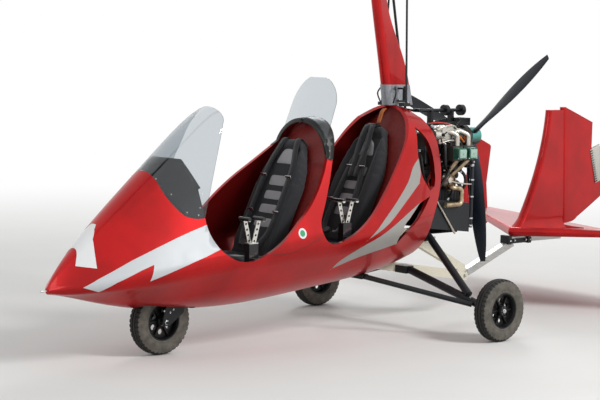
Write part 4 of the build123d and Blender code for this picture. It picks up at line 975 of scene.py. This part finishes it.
# Muffler end and stays
# A spun cone on the muffler's port end, with a bright rod aft to the hose, and the radiator's two stays.
spun_steel = surface("spun_stainless_sheet", "#C6BEB0", 8, 0.01, rough=(0.24, 0.38),
                     shades=("#B4AA9A", "#D6D0C4"), Metallic=1.0, Roughness=0.3)
muffler = bmesh.new()
revolve(muffler, (150, 606, 979), (1, 0, 0),
        ((0, 46), (8, 47), (16, 44), (40, 24), (52, 20), (54, 14), (54, 0)))
pipe(muffler, ((196, 612, 972), (190, 700, 955), (180, 800, 944), (168, 856, 940)), 6)
for x in (178, -178):
    pipe(muffler, ((x, 505, 838), (x, 690, 610)), 7, 12, 1)
fitting("muffler_end", muffler, spun_steel)

# Radiator fins
# Thin strips across the black box's underside, and a pair of bolts on each of its sides.
core, fin_count, fin_pitch = bmesh.new(), 26, 9
for k in range(fin_count):
    block(core, (0, 520 + fin_pitch * k, 618), (280, 2, 10), 0)
side_bolts(core, 6, (182, 700, 625), (182, 700, 790))
fitting("radiator_fins", core, radiator_black)

# Tyres
# Moulded rubber: three grooves and open shoulder lugs in the tread, black where it runs, and dust
# on the rounded sidewalls with their bead rings.
sidewall = surface("dusty_sidewall_rubber", "#55514A", 45, 0.1, rough=(0.7, 0.9),
                   shades=("#46433D", "#67625A"), Roughness=0.8)
tread_black = surface("tread_rubber", "#171716", 30, 0.1, rough=(0.65, 0.85),
                      shades=("#111110", "#22211F"), Roughness=0.75)
wall_half = ((39, 113), (44.5, 116), (47, 124), (45.5, 127), (45.5, 131), (48.5, 138), (50, 150), (50, 163),
             (48, 175), (46.4, 178), (46.4, 181), (45, 185), (42, 191))
tread_half = ((38, 195.5), (30, 199), (25, 200.6), (24, 195), (20, 195), (19, 201.6), (5, 202.4), (4, 196))
lug_count, lug_steps, lug_gap_deep = 40, 4, 7
ring_count = lug_count * lug_steps
wheels = (("main_port", 876, 382, "port_wheel"), ("main_stbd", -876, 382, "starboard_wheel"),
          ("nose", 0, -1680, "nose_wheel"))
axle_z = 202.5
profile = [*wall_half, *tread_half, *[(-x, r) for x, r in reversed(tread_half)],
           *[(-x, r) for x, r in reversed(wall_half)]]
for name, x, y, body in wheels:
    tyre, rings = bmesh.new(), []
    for k in range(ring_count):
        turn, ring = math.tau * k / ring_count, []
        for along, radius in profile:
            # Gaps between the shoulder lugs, staggered from side to side
            if 24.5 < abs(along) < 43 and radius > 190 and (k + (2 if along > 0 else 0)) % lug_steps == 0:
                radius -= lug_gap_deep
            ring.append(tyre.verts.new((x + along, y + radius * math.cos(turn),
                                        axle_z + radius * math.sin(turn))))
        rings.append(ring)
    for ring, following in zip(rings, rings[1:] + rings[:1]):
        for i in range(len(profile)):
            j = (i + 1) % len(profile)
            face = tyre.faces.new((ring[i], ring[j], following[j], following[i]))
            face.material_index = 0 if len(wall_half) - 2 < i < len(profile) - len(wall_half) else 1
    rubber = fitting(f"{name}_treaded_tyre", tyre, tread_black, body, angle=32)
    rubber.data.materials.append(sidewall)
    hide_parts(f"{name}_tyre")

# Wheels
# Black lacquered cast rims with six spokes, a rolled edge, a bearing cap and an axle nut.
black_casting = surface("black_lacquered_casting", "#0E0F11", 4, 0.08, rough=(0.32, 0.46), Metallic=0.4,
                        Roughness=0.38)
dress(black_casting, "main_port_rim", "main_stbd_rim", "nose_rim")
for name, x, y, body in wheels:
    spokes, edge = bmesh.new(), bmesh.new()
    for side in (1, -1):
        revolve(spokes, (x + side * 40, y, axle_z), (side, 0, 0),
                ((0, 108), (3.5, 110), (4.5, 113.5), (2, 115.5), (-2, 115.5)), 64)
        revolve(edge, (x + side * 41, y, axle_z), (side, 0, 0),
                ((0, 0), (0, 15), (6, 15), (8, 11), (13, 11), (13, 0)), 6)
        revolve(spokes, (x + side * 12, y, axle_z), (side, 0, 0),
                ((0, 34), (20, 33), (26, 28), (29, 28), (29, 0)), 32)
        revolve(spokes, (x + side * 28, y, axle_z), (side, 0, 0),
                ((0, 103), (4, 106), (8, 106), (10, 102), (6, 100)), 64)
        for turn in range(0, 360, 60):
            way = Vector((0, math.cos(math.radians(turn)), math.sin(math.radians(turn))))
            block(spokes, Vector((x + side * 18, y, axle_z)) + way * 64, (9, 78, 11), 3, (turn, 0, 0))
            bolt(edge, Vector((x + side * 38, y, axle_z)) + way * 23, (side, 0, 0), 3.2)
    fitting(f"{name}_spokes", spokes, black_casting, body)
    fitting(f"{name}_axle_nuts", edge, stainless, body)
fork_bolts = bmesh.new()
side_bolts(fork_bolts, 6, (72, -1655, 262), (72, -1632, 278), (72, -1700, 275))
for side in (1, -1):
    revolve(fork_bolts, (side * 68, -1680, axle_z), (side, 0, 0),
            ((0, 0), (0, 15), (7, 15), (9, 10), (13, 10), (13, 0)), 6)
fitting("fork_bolts", fork_bolts, stainless, "nose_steering")

# Trim tab
# An aluminium tab is riveted on each face of the rudder, with a black toothed edge ahead of the rivets.
tab, teeth, rivets = bmesh.new(), bmesh.new(), bmesh.new()
tab_middle, tab_lean, tab_wide, tab_tall = Vector((0, 2425, 1023)), 17, 150, 262
tooth_count, tab_end, tooth_in, rivet_in = 14, 12, 10, 34
lean = math.radians(tab_lean)
tab_up, tab_aft = Vector((0, -math.sin(lean), math.cos(lean))), Vector((0, math.cos(lean), math.sin(lean)))
for side in (1, -1):
    block(tab, tab_middle + Vector((side * 15, 0, 0)), (3, tab_wide, tab_tall), 1, (tab_lean, 0, 0))
    for k in range(tooth_count):
        along = -tab_tall / 2 + tab_end + (tab_tall - 2 * tab_end) * k / (tooth_count - 1)
        spot = tab_middle + tab_up * along
        block(teeth, spot - tab_aft * (tab_wide / 2 - tooth_in) + Vector((side * 17, 0, 0)), (4, 26, 9), 1,
              (tab_lean, 0, 0))
        bolt(rivets, spot - tab_aft * (tab_wide / 2 - rivet_in) + Vector((side * 16.5, 0, 0)),
             (side, 0, 0), 3)
fitting("trim_tab", tab, bright_alloy, "rudder")
fitting("trim_tab_teeth", teeth, black_powder, "rudder")
fitting("trim_rivets", rivets, stainless, "rudder")

# Floor, backdrop and light
# A plain pale floor that keeps the shadow and turns to white far off, with broad soft lamps.


def seen_direct(tree):
    """1 for what is seen straight, in a gloss or through something clear, and 0 for its light."""
    ray = add_node(tree, "ShaderNodeLightPath")
    either = reckon(tree, "MAXIMUM", ray.outputs["Is Camera Ray"], ray.outputs["Is Transmission Ray"])
    return reckon(tree, "MAXIMUM", either, ray.outputs["Is Glossy Ray"])


fade_from, fade_to = 3.0, 11.0
floor_finish, tree, shader = finish_of("pale_floor", "#DEDEDC", Roughness=0.95, IOR=1.2)
grain(tree, shader, 900, 0, shades=("#DDDDDB", "#E0E0DE"))
spot = add_node(tree, "ShaderNodeNewGeometry")
far_off = add_node(tree, "ShaderNodeVectorMath", {"operation": "LENGTH"}, {0: spot.outputs["Position"]})
fade = add_node(tree, "ShaderNodeMapRange",
                {"interpolation_type": "SMOOTHSTEP", "From Min": fade_from, "From Max": fade_to},
                {"Value": far_off.outputs["Value"]})
blend = reckon(tree, "MULTIPLY", fade.outputs["Result"], seen_direct(tree))
glow = add_node(tree, "ShaderNodeEmission", {"Color": (1, 1, 1, 1), "Strength": 1.0})
both = add_node(tree, "ShaderNodeMixShader", (), {0: blend, 1: shader.outputs[0], 2: glow.outputs[0]})
tree.links.new(both.outputs[0], tree.nodes["Material Output"].inputs["Surface"])
floor_mesh, far = bpy.data.meshes.new("floor"), 60
floor_mesh.from_pydata([(-far, -far, 0), (far, -far, 0), (far, far, 0), (-far, far, 0)], [], [(0, 1, 2, 3)])
floor_mesh.materials.append(floor_finish)
floor = placed("floor", floor_mesh)

world = bpy.data.worlds.new("studio")
world.use_nodes = True
bpy.context.scene.world = world
tree = world.node_tree
strength = add_node(tree, "ShaderNodeMapRange", {"To Min": 0.5, "To Max": 1.0}, {"Value": seen_direct(tree)})
background = tree.nodes["Background"]
background.inputs["Color"].default_value = (1, 1, 1, 1)
tree.links.new(strength.outputs["Result"], background.inputs["Strength"])

# Soft lamps: where, towards what, how wide in metres, and watts
for name, place, aim, size, power in (
        ("key", (7.5, 3.0, 6.5), (0, 0, 0.9), 2.6, 620),
        ("fill", (0.5, -9.0, 4.5), (0, -1.0, 0.9), 4.0, 160),
        ("rim", (-6.0, 6.0, 6.0), (0, 0, 1.2), 3.0, 240)):
    lamp = bpy.data.lights.new(name, "AREA")
    lamp.size, lamp.energy = size, power
    holder = placed(name, lamp)
    holder.location = place
    holder.rotation_euler = (Vector(aim) - Vector(place)).to_track_quat("-Z", "Y").to_euler()

bpy.context.scene.view_settings.view_transform = "Standard"
